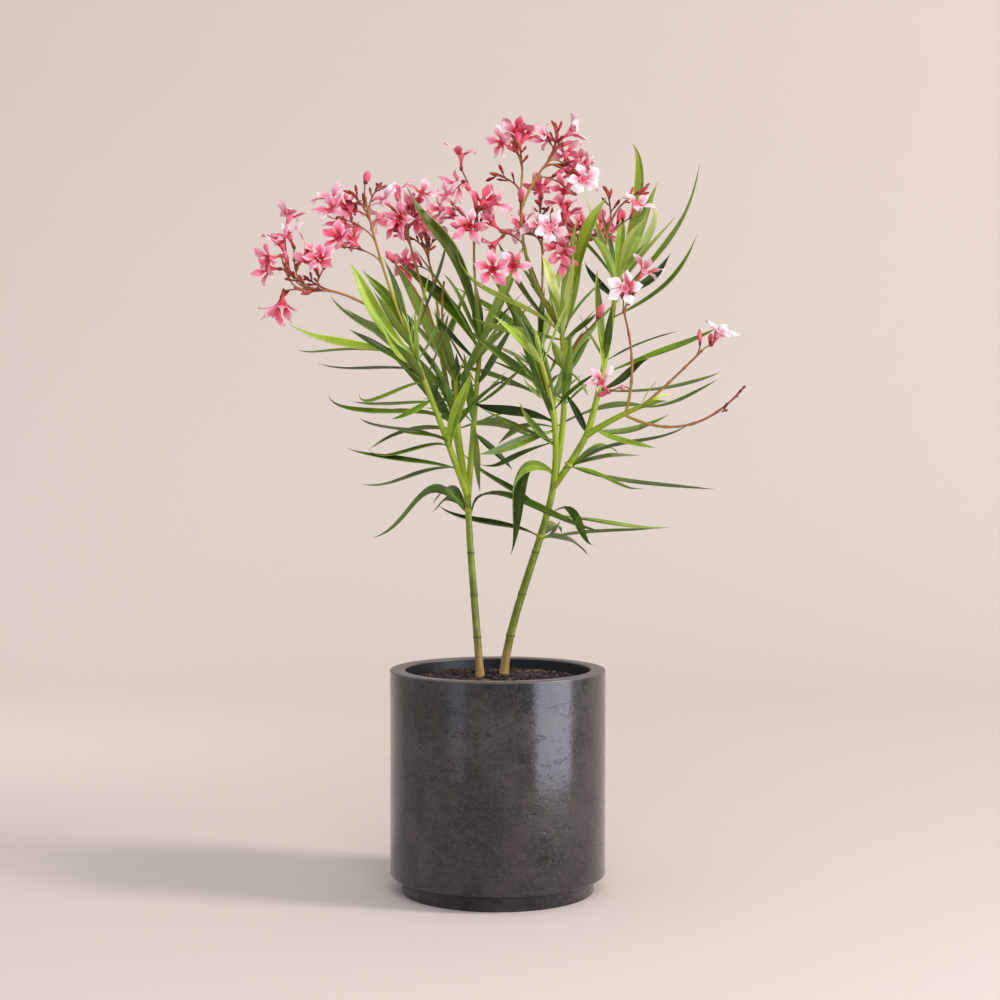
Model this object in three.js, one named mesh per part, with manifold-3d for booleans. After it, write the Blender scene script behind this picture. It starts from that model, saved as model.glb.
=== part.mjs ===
// A potted oleander. Two green stems rise from the soil of a dark cylindrical pot, fork into leafy
// shoots, and end in trusses of five-lobed flowers. Millimetres, +Z up, +X to the viewer's right, +Y
// away from the viewer, with the origin at the centre of the pot's foot.
import * as THREE from 'three';
import { mergeVertices } from 'three/addons/utils/BufferGeometryUtils.js';
import Module from 'manifold-3d';

const wasm = await Module();
wasm.setup();

// Pot and soil
const POT_RADIUS = 120;
const POT_HEIGHT = 248;
const POT_WALL = 16.7;
const POT_FLOOR = 34;
const POT_EDGE = 2.5;
const RIM_EDGE = 1.6;
const FOOT_RADIUS = 107.5;
const FOOT_HEIGHT = 18.5;
const FOOT_EDGE = 1.5;
const POT_SIDES = 48;
const GROUND = 237; // top of the soil, where the stems are cut flat
const SOIL_SLOPE = 4; // the soil falls this far from its middle to the pot's wall
const SOIL_FLAT = 62; // radius of the level middle

// Every solid keeps this far from its neighbours
const GAP = 0.3;

// Limbs: radii at the base and tip
const BOUGH_RADII = [3.7, 3.5];
const SHOOT_RADII = [3.7, 2.6];
const PEDUNCLE_RADII = [1.7, 1.1];
const PEDICEL_RADII = [0.95, 0.8];
const FLARE = 2.6; // how far a stem swells at the soil
const FLARE_FADE = 9; // height over which the swelling fades

// Facets of each kind of limb: sides round it and steps along it
const STEM_FACETS = [10, 14];
const SHOOT_FACETS = [5, 5];
const COLLAR_FACETS = [8, 1];
const STALK_FACETS = [4, 5];
const BRANCH_FACETS = [3, 2];

// Leaves: whorls of three, wide apart from the shoot low down and upright near its tip
const LEAF_WIDTH = 0.062; // half width as a share of the length
const LEAF_THICKNESS = 0.008; // half thickness at the root, as a share of the length
const LEAF_STALK = 1.5; // half width where it meets the shoot
const LEAF_FOLD = 0.16; // rise of the edges over the rib, as a share of the half width
const SPREADS = [54, 30]; // degrees between shoot and leaf, in the lowest whorl and the highest
const LIFTS = [-0.62, -0.1]; // how a leaf then arches, down below nought
const LEAF_SWINGS = [0, 14, -14, 28, -28, 42, -42]; // degrees tried before a leaf is left off
const LAST_WHORL = 0.92; // the highest whorl's place along its shoot
const LEAF_SHIFTS = [0, -8, 8, -16, 16, -24, 24]; // depths that a shown leaf's rib is moved by, likewise
const ROOT_SHIFT = 0.11; // share of that shift that its root takes part in
const LEAF_FACETS = [3, 4];
const LEAF_OUTLINE = [0.85, 0.9]; // powers: under 1, the first sets the widest part nearer the root
const LEAF_THINNING = 0.35; // share of the thickness that is lost by the tip
const LEAF_SIZES = [0.85, 1.15]; // the shortest and longest leaf, as shares of the shoot's `leaf`
const WHORL_LEAVES = 3;
const WHORL_TURN = 60; // degrees from one whorl to the next
const HEADING_SCATTER = 24; // degrees
const SPREAD_SCATTER = 16; // degrees
const LIFT_SCATTER = 0.4;
const COLLAR_WALL = 2.6; // the ring of a whorl that stands on a stem, from the stem outwards
const COLLAR_SUNK = 1.6; // how deep a leaf's root lies in its ring
const COLLAR_HEIGHT = 6;

// Flowers: a narrow tube that opens into five broad lobes, each skewed like a propeller's blade
const TUBE_LENGTH = 21;
const LOBES = 5;
const LOBE_SKEW = 0.16; // radians that each lobe's tip stands off its middle
const THROAT_DEPTH = 2;
const BRANCH_SUNK = 6; // how far a branch runs up inside the tube
// Rings of the flower from its face down to its foot: radius at the notches between the lobes and
// at their tips, and height over the foot
const FLOWER_RINGS = [
  { notch: 8.5, lobe: 22.5, height: TUBE_LENGTH },
  { notch: 4.4, lobe: 4.4, height: TUBE_LENGTH - 3.4 },
  { notch: 0, lobe: 0, height: 0 },
];
const BUD_RADIUS = 2.6;
const BUD_FACETS = [3, 5];
const SHUT_RADIUS = 4.2; // a flower still furled, or one that has closed again
const SHUT_FACETS = [4, 5];
const BUD_REACH = [34, 50]; // from the stalk to a bud's tip
const BUD_LEANS = [19, 57]; // degrees from the stalk
const BUD_PLACES = [1, 0.7]; // shares of the stalk between which the buds leave it
const BUD_SCATTER = 54; // degrees round the stalk
const BUD_START = 0.7; // a branch swells into its bud from here on
const BRANCH_LEAD = 0.4; // how far a branch first follows its stalk, as a share of its own reach
const FACINGS = [0.5, 1.1]; // how strongly the hidden flowers turn to the back

const MATERIALS = {
  stone: new THREE.MeshStandardMaterial({ color: 0x3b3836, roughness: 0.42, metalness: 0 }),
  soil: new THREE.MeshStandardMaterial({ color: 0x3a2b22, roughness: 0.95, metalness: 0 }),
  bark: new THREE.MeshStandardMaterial({ color: 0x8b9448, roughness: 0.6, metalness: 0 }),
  leaf: new THREE.MeshStandardMaterial({ color: 0x5f9132, roughness: 0.5, metalness: 0 }),
  flower: new THREE.MeshStandardMaterial({ color: 0xe0587f, roughness: 0.6, metalness: 0 }),
};

// The stems, from just under the ground to their forks: control points of a cubic curve
const STEMS = {
  stem_left: {
    radii: [4.5, 3.4],
    points: [[-19, -4, 228], [-23, -5, 300], [-31, -8, 370], [-33, -8, 440]],
  },
  stem_right: {
    radii: [4.9, 3.6],
    points: [[6, 14, 228], [8, 12, 300], [56, 2, 400], [62, 0, 455]],
  },
};

// Boughs with no leaves of their own: `from` is the limb each grows from and how far along it, and
// `via` a point half way
const BOUGHS = {
  bough_right: { from: ['stem_right', 0.97], via: [82, -4, 480], tip: [99, -10, 510] },
};

// Leafy shoots. `from` is the limb each grows from and how far along it, `via` a point half way, and
// `leaf` its leaf length. `shown` leaves are those that stand out alone: their place along the shoot,
// the degrees that their upper side is turned to the viewer (below nought the underside), their tip,
// and the rib's points a third and two thirds of the way to it.
const SHOOTS = {
  shoot_left_arch: {
    from: ['stem_left', 1], via: [-64, -29, 525], tip: [-95, -45, 609],
    whorls: 0,
    shown: [
      [0.19, 11, [-153, 30, 453], [-82, -1, 467], [-118, 15, 455]],
      [0.18, 14, [-163, -70, 495], [-80, -34, 478], [-124, -52, 484]],
      [0.3, 13, [-140, -60, 494], [-74, -34, 497], [-112, -47, 487]],
      [0.36, 11, [-156, 40, 527], [-92, -3, 512], [-128, 19, 517]],
      [0.35, 23, [-110, -75, 516], [-68, -40, 507], [-92, -58, 510]],
      [0.51, 16, [-183, -60, 553], [-97, -39, 533], [-152, -50, 535]],
      [0.62, 18, [-162, 10, 546], [-102, -19, 543], [-134, -4, 542]],
      [0.63, 70, [-114, -80, 526], [-84, -49, 539], [-100, -65, 530]],
      [0.74, 27, [-151, -40, 555], [-106, -38, 558], [-137, -39, 546]],
      [0.82, 7, [-203, 30, 589], [-124, -17, 582], [-164, 7, 582]],
      [0.93, 30, [-225, -70, 628], [-158, -52, 605], [-195, -61, 613]],
      [0.92, 9, [-223, 0, 603], [-156, -29, 602], [-196, -14, 600]],
      [0.81, 41, [-158, -90, 621], [-116, -56, 596], [-140, -73, 610]],
      [0.94, 14, [-184, -20, 662], [-139, -36, 623], [-168, -28, 643]],
      [0.93, 9, [-164, 40, 642], [-125, -16, 623], [-147, 13, 635]],
      [0.9, 90, [-156, -90, 690], [-124, -58, 630], [-143, -74, 665]],
      [0.93, 64, [-147, -40, 688], [-112, -42, 646], [-131, -41, 670]],
      [0.93, 44, [-124, -50, 701], [-105, -45, 644], [-112, -48, 670]],
      [0.86, 90, [-124, -100, 629], [-102, -60, 594], [-114, -81, 609]],
      [0.88, -23, [-57, 20, 646], [-71, -21, 615], [-63, 0, 633]],
      [0.97, 8, [-58, 60, 733], [-77, -10, 653], [-64, 26, 693]],
      [0.3, 90, [-28, -75, 576], [-49, -39, 521], [-37, -57, 553]],
      [0.57, 56, [-60, 40, 584], [-69, -8, 555], [-65, 16, 570]],
      [0.6, 48, [-41, 70, 550], [-59, 1, 547], [-48, 36, 549]],
    ],
  },
  shoot_left_slender: {
    from: ['stem_left', 1], via: [-44, 10, 512], tip: [-47, 25, 570],
    whorls: 2, bare: 0.55, leaf: 105, turn: 75,
  },
  shoot_left_inner: {
    from: ['stem_left', 1], via: [-27, 26, 520], tip: [-19, 50, 621],
    whorls: 1, bare: 0.9, leaf: 130, turn: 70,
    shown: [
      [0.97, 39, [-100, -10, 782], [-47, 29, 702], [-75, 9, 741]],
      [0.92, 62, [-115, 60, 707], [-54, 51, 653], [-84, 56, 681]],
      [0.85, 39, [-72, -20, 644], [-41, 23, 607], [-56, 1, 623]],
      [0.97, 28, [-60, -30, 685], [-36, 23, 646], [-47, -4, 668]],
      [0.95, 90, [-32, 60, 661], [-24, 52, 629], [-27, 56, 648]],
      [0.45, -90, [16, 40, 469], [-12, 29, 498], [5, 34, 482]],
      [0.53, 37, [-19, -60, 447], [-25, -1, 492], [-23, -31, 467]],
      [0.62, 30, [36, -40, 588], [0, 9, 557], [18, -16, 573]],
    ],
  },
  shoot_left_back: {
    from: ['stem_left', 0.97], via: [-50, 50, 522], tip: [-66, 92, 605],
    whorls: 3, bare: 0.45, leaf: 135, turn: 30,
  },
  shoot_right_front: {
    from: ['stem_right', 1], via: [62, -32, 520], tip: [46, -60, 589],
    whorls: 0,
    shown: [
      [0.54, 77, [23, -80, 638], [51, -49, 574], [38, -65, 608]],
      [0.36, 23, [-20, -90, 539], [36, -45, 511], [7, -68, 524]],
      [0.52, 72, [-29, 10, 545], [27, -19, 533], [-3, -4, 537]],
      [0.31, 51, [23, -100, 544], [43, -47, 513], [30, -74, 528]],
      [0.45, 90, [-21, -70, 488], [29, -43, 503], [2, -56, 493]],
      [0.36, -37, [-20, -10, 476], [21, -19, 485], [0, -14, 475]],
      [0.08, 90, [16, -85, 447], [42, -32, 475], [25, -59, 469]],
      [0.07, 55, [14, -95, 381], [31, -35, 468], [23, -65, 430]],
    ],
  },
  shoot_right_leader: {
    from: ['stem_right', 1], via: [74, 20, 540], tip: [71, 25, 631],
    whorls: 1, bare: 0.9, leaf: 130, turn: 50,
    shown: [
      [0.95, 17, [-45, -40, 711], [25, 4, 650], [-21, -18, 672]],
      [0.91, -35, [-28, -70, 635], [31, -6, 620], [-1, -39, 625]],
      [0.97, 44, [118, -45, 766], [91, 2, 706], [104, -22, 743]],
      [0.97, 40, [81, -60, 704], [78, -3, 660], [82, -32, 683]],
      [0.96, 52, [48, -50, 703], [63, 0, 658], [55, -25, 686]],
      [0.96, 32, [25, 20, 731], [47, 23, 665], [33, 22, 701]],
      [0.95, 27, [-1, 60, 729], [34, 37, 661], [12, 49, 699]],
      [0.7, -90, [59, -60, 610], [71, -4, 589], [64, -32, 601]],
      [0.9, 90, [111, 10, 645], [90, 20, 627], [102, 15, 636]],
      [0.68, -90, [106, 30, 619], [87, 26, 591], [96, 28, 607]],
      [0.73, 28, [99, -40, 551], [87, 3, 572], [94, -19, 560]],
      [0.54, 30, [-40, -60, 629], [29, -6, 576], [-8, -33, 602]],
      [0.53, 47, [27, -80, 573], [54, -13, 549], [38, -47, 556]],
      [0.59, 90, [105, 60, 507], [88, 35, 536], [97, 47, 519]],
    ],
  },
  shoot_right_upper: {
    from: ['bough_right', 1], via: [119, 4, 590], tip: [133, 10, 686],
    whorls: 1, bare: 0.9, leaf: 120, turn: 20,
    shown: [
      [0.97, 35, [152, 45, 836], [152, 21, 739], [160, 33, 796]],
      [0.95, 90, [139, 20, 753], [134, 13, 714], [137, 17, 736]],
      [0.96, 24, [161, -40, 743], [140, -7, 712], [149, -24, 730]],
      [0.95, -35, [172, 20, 771], [160, 13, 714], [175, 17, 744]],
      [0.88, 14, [223, 0, 808], [180, 6, 709], [209, 3, 755]],
      [0.76, 17, [217, -40, 727], [177, -8, 666], [202, -24, 693]],
      [0.88, 90, [191, 0, 709], [163, 6, 677], [179, 3, 691]],
      [0.9, -90, [100, -10, 729], [124, 3, 697], [113, -4, 716]],
      [0.93, 40, [117, 40, 762], [126, 20, 711], [121, 30, 735]],
      [0.87, 72, [99, 60, 704], [119, 26, 672], [107, 43, 687]],
      [0.42, 45, [108, -50, 689], [113, -15, 618], [108, -33, 659]],
      [0.42, 21, [243, 10, 627], [177, 5, 598], [216, 7, 613]],
      [0.31, 90, [165, -40, 591], [137, -13, 571], [151, -27, 584]],
      [0.31, 8, [251, 40, 579], [170, 13, 558], [216, 27, 566]],
    ],
  },
  shoot_right_outer: {
    from: ['bough_right', 0.96], via: [124, -24, 524], tip: [157, -36, 540],
    whorls: 0,
    shown: [
      [0.97, 15, [245, -10, 571], [191, -27, 543], [219, -18, 555]],
      [0.94, 78, [182, -80, 545], [162, -50, 541], [170, -65, 544]],
      [0.2, 44, [169, -95, 495], [129, -42, 504], [150, -69, 498]],
      [0.2, -36, [194, 40, 532], [141, 3, 512], [171, 22, 520]],
    ],
  },
  shoot_right_back: {
    from: ['stem_right', 0.97], via: [64, 55, 530], tip: [47, 105, 622],
    whorls: 4, bare: 0.42, leaf: 140, turn: 10,
  },
};

// Whorls of long leaves at and below the forks, on a ring round a limb at a share of its length. Each
// leaf is given like those above.
const COLLARS = {
  whorl_left: {
    on: ['stem_left', 0.93],
    leaves: [
      [-37, [-134, -70, 398], [-72, -28, 448], [-98, -50, 424]],
      [11, [114, -70, 405], [2, -28, 443], [59, -50, 422]],
      [49, [-75, 70, 420], [-54, 18, 437], [-66, 44, 429]],
      [60, [-75, 85, 428], [-50, 20, 446], [-64, 52, 442]],
    ],
  },
  whorl_low: {
    on: ['stem_right', 0.7],
    leaves: [
      [23, [-67, 30, 429], [8, 12, 407], [-33, 21, 414]],
      [13, [173, -30, 406], [97, -8, 400], [137, -19, 403]],
      [-49, [68, -60, 416], [59, -17, 398], [64, -39, 407]],
      [32, [106, 120, 366], [74, 42, 391], [92, 82, 381]],
      [60, [75, 118, 392], [60, 44, 404], [68, 80, 404]],
    ],
  },
  whorl_high: {
    on: ['stem_right', 0.82],
    leaves: [
      [25, [-41, 45, 489], [20, 16, 444], [-12, 31, 463]],
      [12, [196, 50, 403], [111, 18, 411], [154, 34, 404]],
      [66, [103, -70, 390], [80, -22, 425], [91, -46, 404]],
    ],
  },
  whorl_fork: {
    on: ['bough_right', 0.42],
    leaves: [
      [10, [218, 20, 522], [125, 4, 495], [170, 12, 503]],
      [21, [158, -60, 452], [110, -22, 465], [136, -41, 453]],
      [11, [245, 30, 447], [133, 8, 458], [188, 19, 451]],
      [30, [166, 110, 484], [115, 34, 482], [140, 73, 484]],
      [60, [140, 110, 486], [108, 30, 490], [126, 70, 494]],
    ],
  },
};

// Flower trusses. `flowers` gives how far along the stalk each branch leaves, where its mouth is and,
// where that is known, the way it faces. `shut` gives the place and tip of a furled flower, and `buds`
// how many buds stand round the stalk's end.
const TRUSSES = {
  truss_far_left: {
    from: ['shoot_left_arch', 1], via: [-148, -70, 652], tip: [-206, -90, 664], buds: 3,
    flowers: [
      [0.85, [-189, -100, 697], [-0.2, -0.8, 0.5]],
      [1, [-228, -90, 643], [0, -0.3, -1]],
      [1, [-246, -100, 694], [-0.8, -0.5, -0.25]],
      [0.93, [-224, -85, 725], [-0.3, -0.5, 0.75]],
      [0.93, [-222, -60, 748], [0.3, 0.2, 0.9]],
    ],
  },
  truss_left_high: {
    from: ['shoot_left_arch', 0.99], via: [-124, -50, 690], tip: [-143, -50, 765], buds: 2,
    flowers: [
      [0.5, [-172, -75, 722], [-0.3, -0.7, 0.5]],
      [0.65, [-181, -60, 754], [-0.5, -0.6, 0.5]],
      [0.8, [-184, -30, 771], [-0.3, -0.3, 0.9]],
      [0.9, [-165, -30, 760], [0.5, -0.5, 0.6]],
    ],
    shut: [[1, [-140, -40, 795]]],
  },
  truss_stalk_left: {
    from: ['shoot_left_slender', 1], via: [-61, 28, 627], tip: [-60, 25, 680], buds: 2,
  },
  truss_slender: {
    from: ['shoot_left_slender', 0.97], via: [-76, 5, 640], tip: [-104, -22, 686], buds: 0,
    shut: [[1, [-121, -45, 708]]],
  },
  truss_centre_left: {
    from: ['shoot_left_back', 1], via: [-90, 50, 690], tip: [-104, 5, 745], buds: 2,
    flowers: [
      [0.85, [-108, -40, 743], [-0.4, -0.8, -0.2]],
      [0.9, [-128, -20, 768], [-0.7, -0.4, 0.6]],
      [1, [-112, 10, 784], [-0.2, -0.3, 0.9]],
      [1, [-84, 20, 781], [0.3, -0.6, 0.7]],
    ],
  },
  truss_centre: {
    from: ['shoot_left_inner', 1], via: [-26, 35, 690], tip: [-25, 12, 745], buds: 2,
    flowers: [
      [0.7, [-30, -30, 735], [0.2, -0.6, -0.3]],
      [0.8, [-60, 0, 775], [-0.5, -0.6, 0.5]],
      [0.9, [-15, 0, 767], [0.2, 0.7, 0.4]],
      [1, [-41, 30, 826], [0, -0.2, 1]],
    ],
    shut: [[0.75, [-52, -22, 740]]],
  },
  truss_top: {
    from: ['shoot_right_leader', 1], via: [33, 18, 705], tip: [27, 10, 795], buds: 3,
    flowers: [
      [0.35, [-6, -70, 687], [-0.1, -1, 0.1]],
      [0.55, [-10, -10, 745], [-0.7, -0.3, 0.6]],
      [1, [1, -10, 828], [-0.6, -0.6, -0.2]],
      [1, [24, 20, 851], [0.3, 0.2, 0.9]],
    ],
    shut: [[0.75, [26, -24, 778]]],
  },
  truss_top_right: {
    from: ['truss_top', 0.8], via: [40, 22, 790], tip: [58, 25, 815], buds: 3,
    flowers: [
      [0.5, [70, 20, 780], [-0.8, -0.5, 0.1]],
      [0.8, [95, 0, 792], [0.1, -1, 0.2]],
      [0.9, [98, 60, 818], [0.6, 0.3, 0.6]],
      [1, [86, 38, 850], [0.8, -0.2, 0.5]],
    ],
  },
  truss_upper_right: {
    from: ['shoot_right_leader', 0.99], via: [80, 19, 680], tip: [77, 8, 722], buds: 2,
    flowers: [
      [0.6, [68, -28, 708], [0, -0.8, -0.5]],
      [0.9, [57, -34, 735], [-0.1, -1, 0.1]],
      [1, [79, -5, 757], [0.3, 0.2, 0.9]],
    ],
  },
  truss_right: {
    from: ['shoot_right_upper', 1], via: [119, -12, 713], tip: [128, -18, 750], buds: 2,
    flowers: [[0.5, [152, -30, 763], [0.3, -0.5, 0.8]]],
  },
  truss_right_low: {
    from: ['shoot_right_leader', 0.73], via: [87, 4, 609], tip: [101, -19, 625], buds: 0,
    shut: [[1, [114, -48, 651]]],
  },
  truss_right_rear: {
    from: ['shoot_right_upper', 0.97], via: [126, 60, 710], tip: [112, 95, 735], buds: 2,
    flowers: [
      [0.8, [122, 114, 752], [0.3, 0.8, 0.5]],
      [1, [92, 118, 752], [-0.4, 0.8, 0.5]],
    ],
  },
  truss_right_front: {
    from: ['shoot_right_outer', 0.75], via: [146, -42, 585], tip: [136, -45, 645], buds: 1,
    flowers: [
      [0.95, [138, -48, 668], [-0.1, -1, 0.1]],
      [0.9, [163, -36, 690], [0.6, 0.3, 0.75]],
      [0.2, [109, -80, 567], [-0.5, -0.6, 0.6]],
    ],
  },
  truss_outer: {
    from: ['shoot_right_outer', 1], via: [182, -50, 562], tip: [221, -57, 600], buds: 0,
    flowers: [[1, [242, -60, 621], [0.5, -0.4, 0.7]]],
    shut: [[0.9, [218, -52, 624]]],
  },
  truss_outer_low: {
    from: ['shoot_right_outer', 0.72], via: [205, -42, 519], tip: [265, -40, 557], buds: 0,
  },
  truss_back_left: {
    from: ['shoot_left_back', 0.99], via: [-72, 112, 670], tip: [-84, 128, 722], buds: 3,
    flowers: [
      [0.7, [-110, 138, 712]],
      [0.93, [-102, 120, 764]],
      [1, [-75, 150, 755]],
    ],
  },
  truss_back_right: {
    from: ['shoot_right_back', 1], via: [52, 118, 690], tip: [50, 122, 752], buds: 3,
    flowers: [
      [0.7, [80, 138, 742]],
      [0.8, [22, 142, 752]],
      [1, [52, 128, 800]],
    ],
  },
};

const RIGHT = new THREE.Vector3(1, 0, 0);
const BACK = new THREE.Vector3(0, 1, 0);
const UP = new THREE.Vector3(0, 0, 1);
const STEEP = 0.8; // a limb that runs back more than this takes its sides from RIGHT
const NEAR = 0.001; // points nearer than this are one
const SEED = 7919;
const SERIES = { factor: 1664525, step: 1013904223, range: 2 ** 32 };
const LEAF_SERIES = 31; // the first series of the leaves that grow by rule
const BUD_SERIES = 61; // the first series of the buds
const at = (place) => new THREE.Vector3(...place);
const mix = ([first, last], share) => THREE.MathUtils.lerp(first, last, share);

/** A repeatable series of numbers from 0 to 1. */
function series(seed) {
  let state = seed;
  return () => {
    state = (state * SERIES.factor + SERIES.step) % SERIES.range;
    return state / SERIES.range;
  };
}

/** The solid inside a closed geometry. */
function solidOf(geometry) {
  const skin = geometry.clone();
  skin.deleteAttribute('normal');
  skin.deleteAttribute('uv');
  const merged = mergeVertices(skin, NEAR);
  return new wasm.Manifold(new wasm.Mesh({
    numProp: 3,
    vertProperties: new Float32Array(merged.attributes.position.array),
    triVerts: new Uint32Array(merged.index.array),
  }));
}

/** A named mesh of one solid. */
function meshOf(name, solid, material) {
  const { vertProperties, triVerts } = solid.getMesh();
  const geometry = new THREE.BufferGeometry();
  geometry.setAttribute('position', new THREE.BufferAttribute(vertProperties, 3));
  geometry.setIndex(new THREE.BufferAttribute(triVerts, 1));
  geometry.computeVertexNormals();
  const mesh = new THREE.Mesh(geometry, material);
  mesh.name = name;
  return mesh;
}

/** The biggest body of a solid: what a cut or a sunken root leaves loose is dropped. */
function largest(solid) {
  const bodies = solid.decompose();
  return bodies.reduce((best, body) => (body.volume() > best.volume() ? body : best));
}

/** A curve from one point to another that passes a third half way. */
function curveThrough(start, via, end) {
  const control = via.clone().multiplyScalar(2).addScaledVector(start, -0.5).addScaledVector(end, -0.5);
  return new THREE.QuadraticBezierCurve3(start, control, end);
}

/** Bends a straight form, 2 long on y and 1 in radius, on to a rib. `upper` is the side that its +z
 *  turns to half way, and the form keeps it without a twist. `section` gives the half width, the half
 *  thickness and the lift of the edges, and `beyond` is how far the ends reach past the rib's. */
function alongRib(form, rib, upper, section, beyond = 0) {
  const places = form.attributes.position;
  const halfWay = rib.getTangent(0.5);
  const top = upper.clone().addScaledVector(halfWay, -upper.dot(halfWay)).normalize();
  for (let i = 0; i < places.count; i++) {
    const x = places.getX(i);
    const z = places.getZ(i);
    const ring = Math.hypot(x, z);
    const share = THREE.MathUtils.clamp((places.getY(i) + 1) / 2, 0, 1);
    const along = rib.getTangent(share);
    const over = top.clone().applyQuaternion(new THREE.Quaternion().setFromUnitVectors(halfWay, along));
    const across = along.clone().cross(over);
    const { width, thickness, lift } = section(share);
    const side = ring > NEAR ? x / ring : 0;
    const rise = ring > NEAR ? z / ring : 0;
    const place = rib.getPoint(share);
    place.addScaledVector(across, side * width);
    place.addScaledVector(over, rise * thickness + Math.abs(side) * lift);
    if (share === 0 || share === 1) {
      place.addScaledVector(along, share === 0 ? -beyond : beyond);
    }
    places.setXYZ(i, place.x, place.y, place.z);
  }
  return solidOf(form);
}

/** A round limb with flat ends along a curve, `grow` larger all round. */
function limb(curve, radiusAt, [sides, steps], grow = 0) {
  const chord = curve.getPoint(1).sub(curve.getPoint(0)).normalize();
  const upper = Math.abs(chord.y) < STEEP ? BACK : RIGHT;
  const section = (share) => {
    const radius = radiusAt(share) + grow;
    return { width: radius, thickness: radius, lift: 0 };
  };
  return alongRib(new THREE.CylinderGeometry(1, 1, 2, sides, steps), curve, upper, section, grow);
}

/** A lance-shaped leaf on its rib, keeled along the underside, and `grow` larger all round. */
function leafBlade(rib, upper, grow) {
  const length = rib.getLength();
  const section = (share) => {
    const full = Math.sin(Math.PI * share ** LEAF_OUTLINE[0]) ** LEAF_OUTLINE[1];
    const width = Math.max(length * LEAF_WIDTH * full, LEAF_STALK * (1 - share)) + grow;
    const thickness = length * LEAF_THICKNESS * (1 - LEAF_THINNING * share) + grow;
    return { width, thickness, lift: LEAF_FOLD * width };
  };
  const form = new THREE.CylinderGeometry(0, 1, 2, ...LEAF_FACETS, false, Math.PI);
  return alongRib(form, rib, upper, section);
}

/** An open flower: a tube that widens from its foot to a star of five skewed lobes. */
function flowerForm(foot, facing, roll, grow) {
  const form = new THREE.CylinderGeometry(1, 0, 2, 2 * LOBES, FLOWER_RINGS.length - 1);
  const places = form.attributes.position;
  for (let i = 0; i < places.count; i++) {
    const row = Math.round(((1 - places.getY(i)) / 2) * (FLOWER_RINGS.length - 1));
    const corner = Math.round((Math.atan2(places.getX(i), places.getZ(i)) / Math.PI) * LOBES);
    const isNotch = corner % 2 === 0;
    const isCentre = Math.hypot(places.getX(i), places.getZ(i)) < NEAR;
    const { notch, lobe, height } = FLOWER_RINGS[row];
    const reach = isCentre ? 0 : (isNotch ? notch : lobe) + grow;
    const angle = (Math.PI * corner) / LOBES + (isNotch || row > 0 ? 0 : LOBE_SKEW);
    const lift = row === 0 ? grow - (isCentre ? THROAT_DEPTH : 0) : -grow;
    places.setXYZ(i, reach * Math.cos(angle), reach * Math.sin(angle), height + lift);
  }
  form.rotateZ(roll);
  form.applyQuaternion(new THREE.Quaternion().setFromUnitVectors(UP, facing));
  form.translate(foot.x, foot.y, foot.z);
  return solidOf(form);
}

/** True where two boxes overlap. */
function boxesMeet(a, b) {
  return [0, 1, 2].every((axis) => a.min[axis] <= b.max[axis] && b.min[axis] <= a.max[axis]);
}

const withBox = (solid) => ({ solid, box: solid.boundingBox() });
const growths = {};

/** One node of the plant: a limb, with the leaves or flowers that are fused to it. */
class Growth {
  constructor(name, material, curve, radiusAt, facets, cut = null) {
    this.name = name;
    this.material = material;
    this.curve = curve;
    this.radiusAt = radiusAt;
    this.zone = limb(curve, radiusAt, facets, GAP);
    const neighbours = Object.values(growths).map((other) => other.zone);
    const clear = [cut, ...neighbours].filter(Boolean);
    const whole = limb(curve, radiusAt, facets);
    this.parts = [withBox(largest(clear.reduce((rest, other) => rest.subtract(other), whole)))];
    growths[name] = this;
  }

  /** True where a trial solid touches no other growth, nor the pot. */
  isFree(trial) {
    const box = trial.boundingBox();
    const others = Object.values(growths).filter((growth) => growth !== this);
    return [...still, ...others.flatMap((growth) => growth.parts)].every((part) => {
      return !boxesMeet(part.box, box) || part.solid.intersect(trial).isEmpty();
    });
  }

  /** Fuses on a form, made by `make(grow)`, unless it would touch another growth. */
  fuse(make) {
    if (!this.isFree(make(GAP))) {
      return false;
    }
    this.parts.push(withBox(make(0)));
    return true;
  }

  /** The whole node as one mesh. */
  mesh() {
    const solid = largest(wasm.Manifold.union(this.parts.map((part) => part.solid)));
    return meshOf(this.name, solid, this.material);
  }
}

/** The cubic curve that passes two points a third and two thirds of the way. The weights of its
 *  controls are those that solve the cubic at these two places. */
function ribThrough(root, near, far, tip) {
  const first = near.clone().multiplyScalar(18).addScaledVector(root, -5);
  first.addScaledVector(far, -9).addScaledVector(tip, 2).divideScalar(6);
  const second = far.clone().multiplyScalar(18).addScaledVector(tip, -5);
  second.addScaledVector(near, -9).addScaledVector(root, 2).divideScalar(6);
  return new THREE.CubicBezierCurve3(root, first, second, tip);
}

/** A leaf from a point of a limb whose rib is given. `face` degrees turn its upper side from the sky
 *  to the viewer. */
function addLeafTo(growth, root, face, tip, near, far) {
  const level = tip.clone().sub(root).cross(BACK).normalize();
  const turn = THREE.MathUtils.degToRad(face);
  const upper = level.multiplyScalar(Math.sign(level.z) * Math.cos(turn));
  upper.addScaledVector(BACK, -Math.sin(turn));
  LEAF_SHIFTS.some((shift) => {
    const moved = (place, share) => place.clone().addScaledVector(BACK, share * shift);
    const rib = ribThrough(moved(root, ROOT_SHIFT), moved(near, 1), moved(far, 1), tip);
    return growth.fuse((grow) => leafBlade(rib, upper, grow));
  });
}

/** A direction that leans away from an axis by `spread` towards `heading`, both in degrees. */
function leaning(axis, spread, heading) {
  const right = RIGHT.clone().addScaledVector(axis, -axis.x).normalize();
  const back = axis.clone().cross(right);
  const turn = THREE.MathUtils.degToRad(heading);
  const lean = THREE.MathUtils.degToRad(spread);
  const outward = right.multiplyScalar(Math.cos(turn)).addScaledVector(back, Math.sin(turn));
  return axis.clone().multiplyScalar(Math.cos(lean)).addScaledVector(outward, Math.sin(lean));
}

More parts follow.
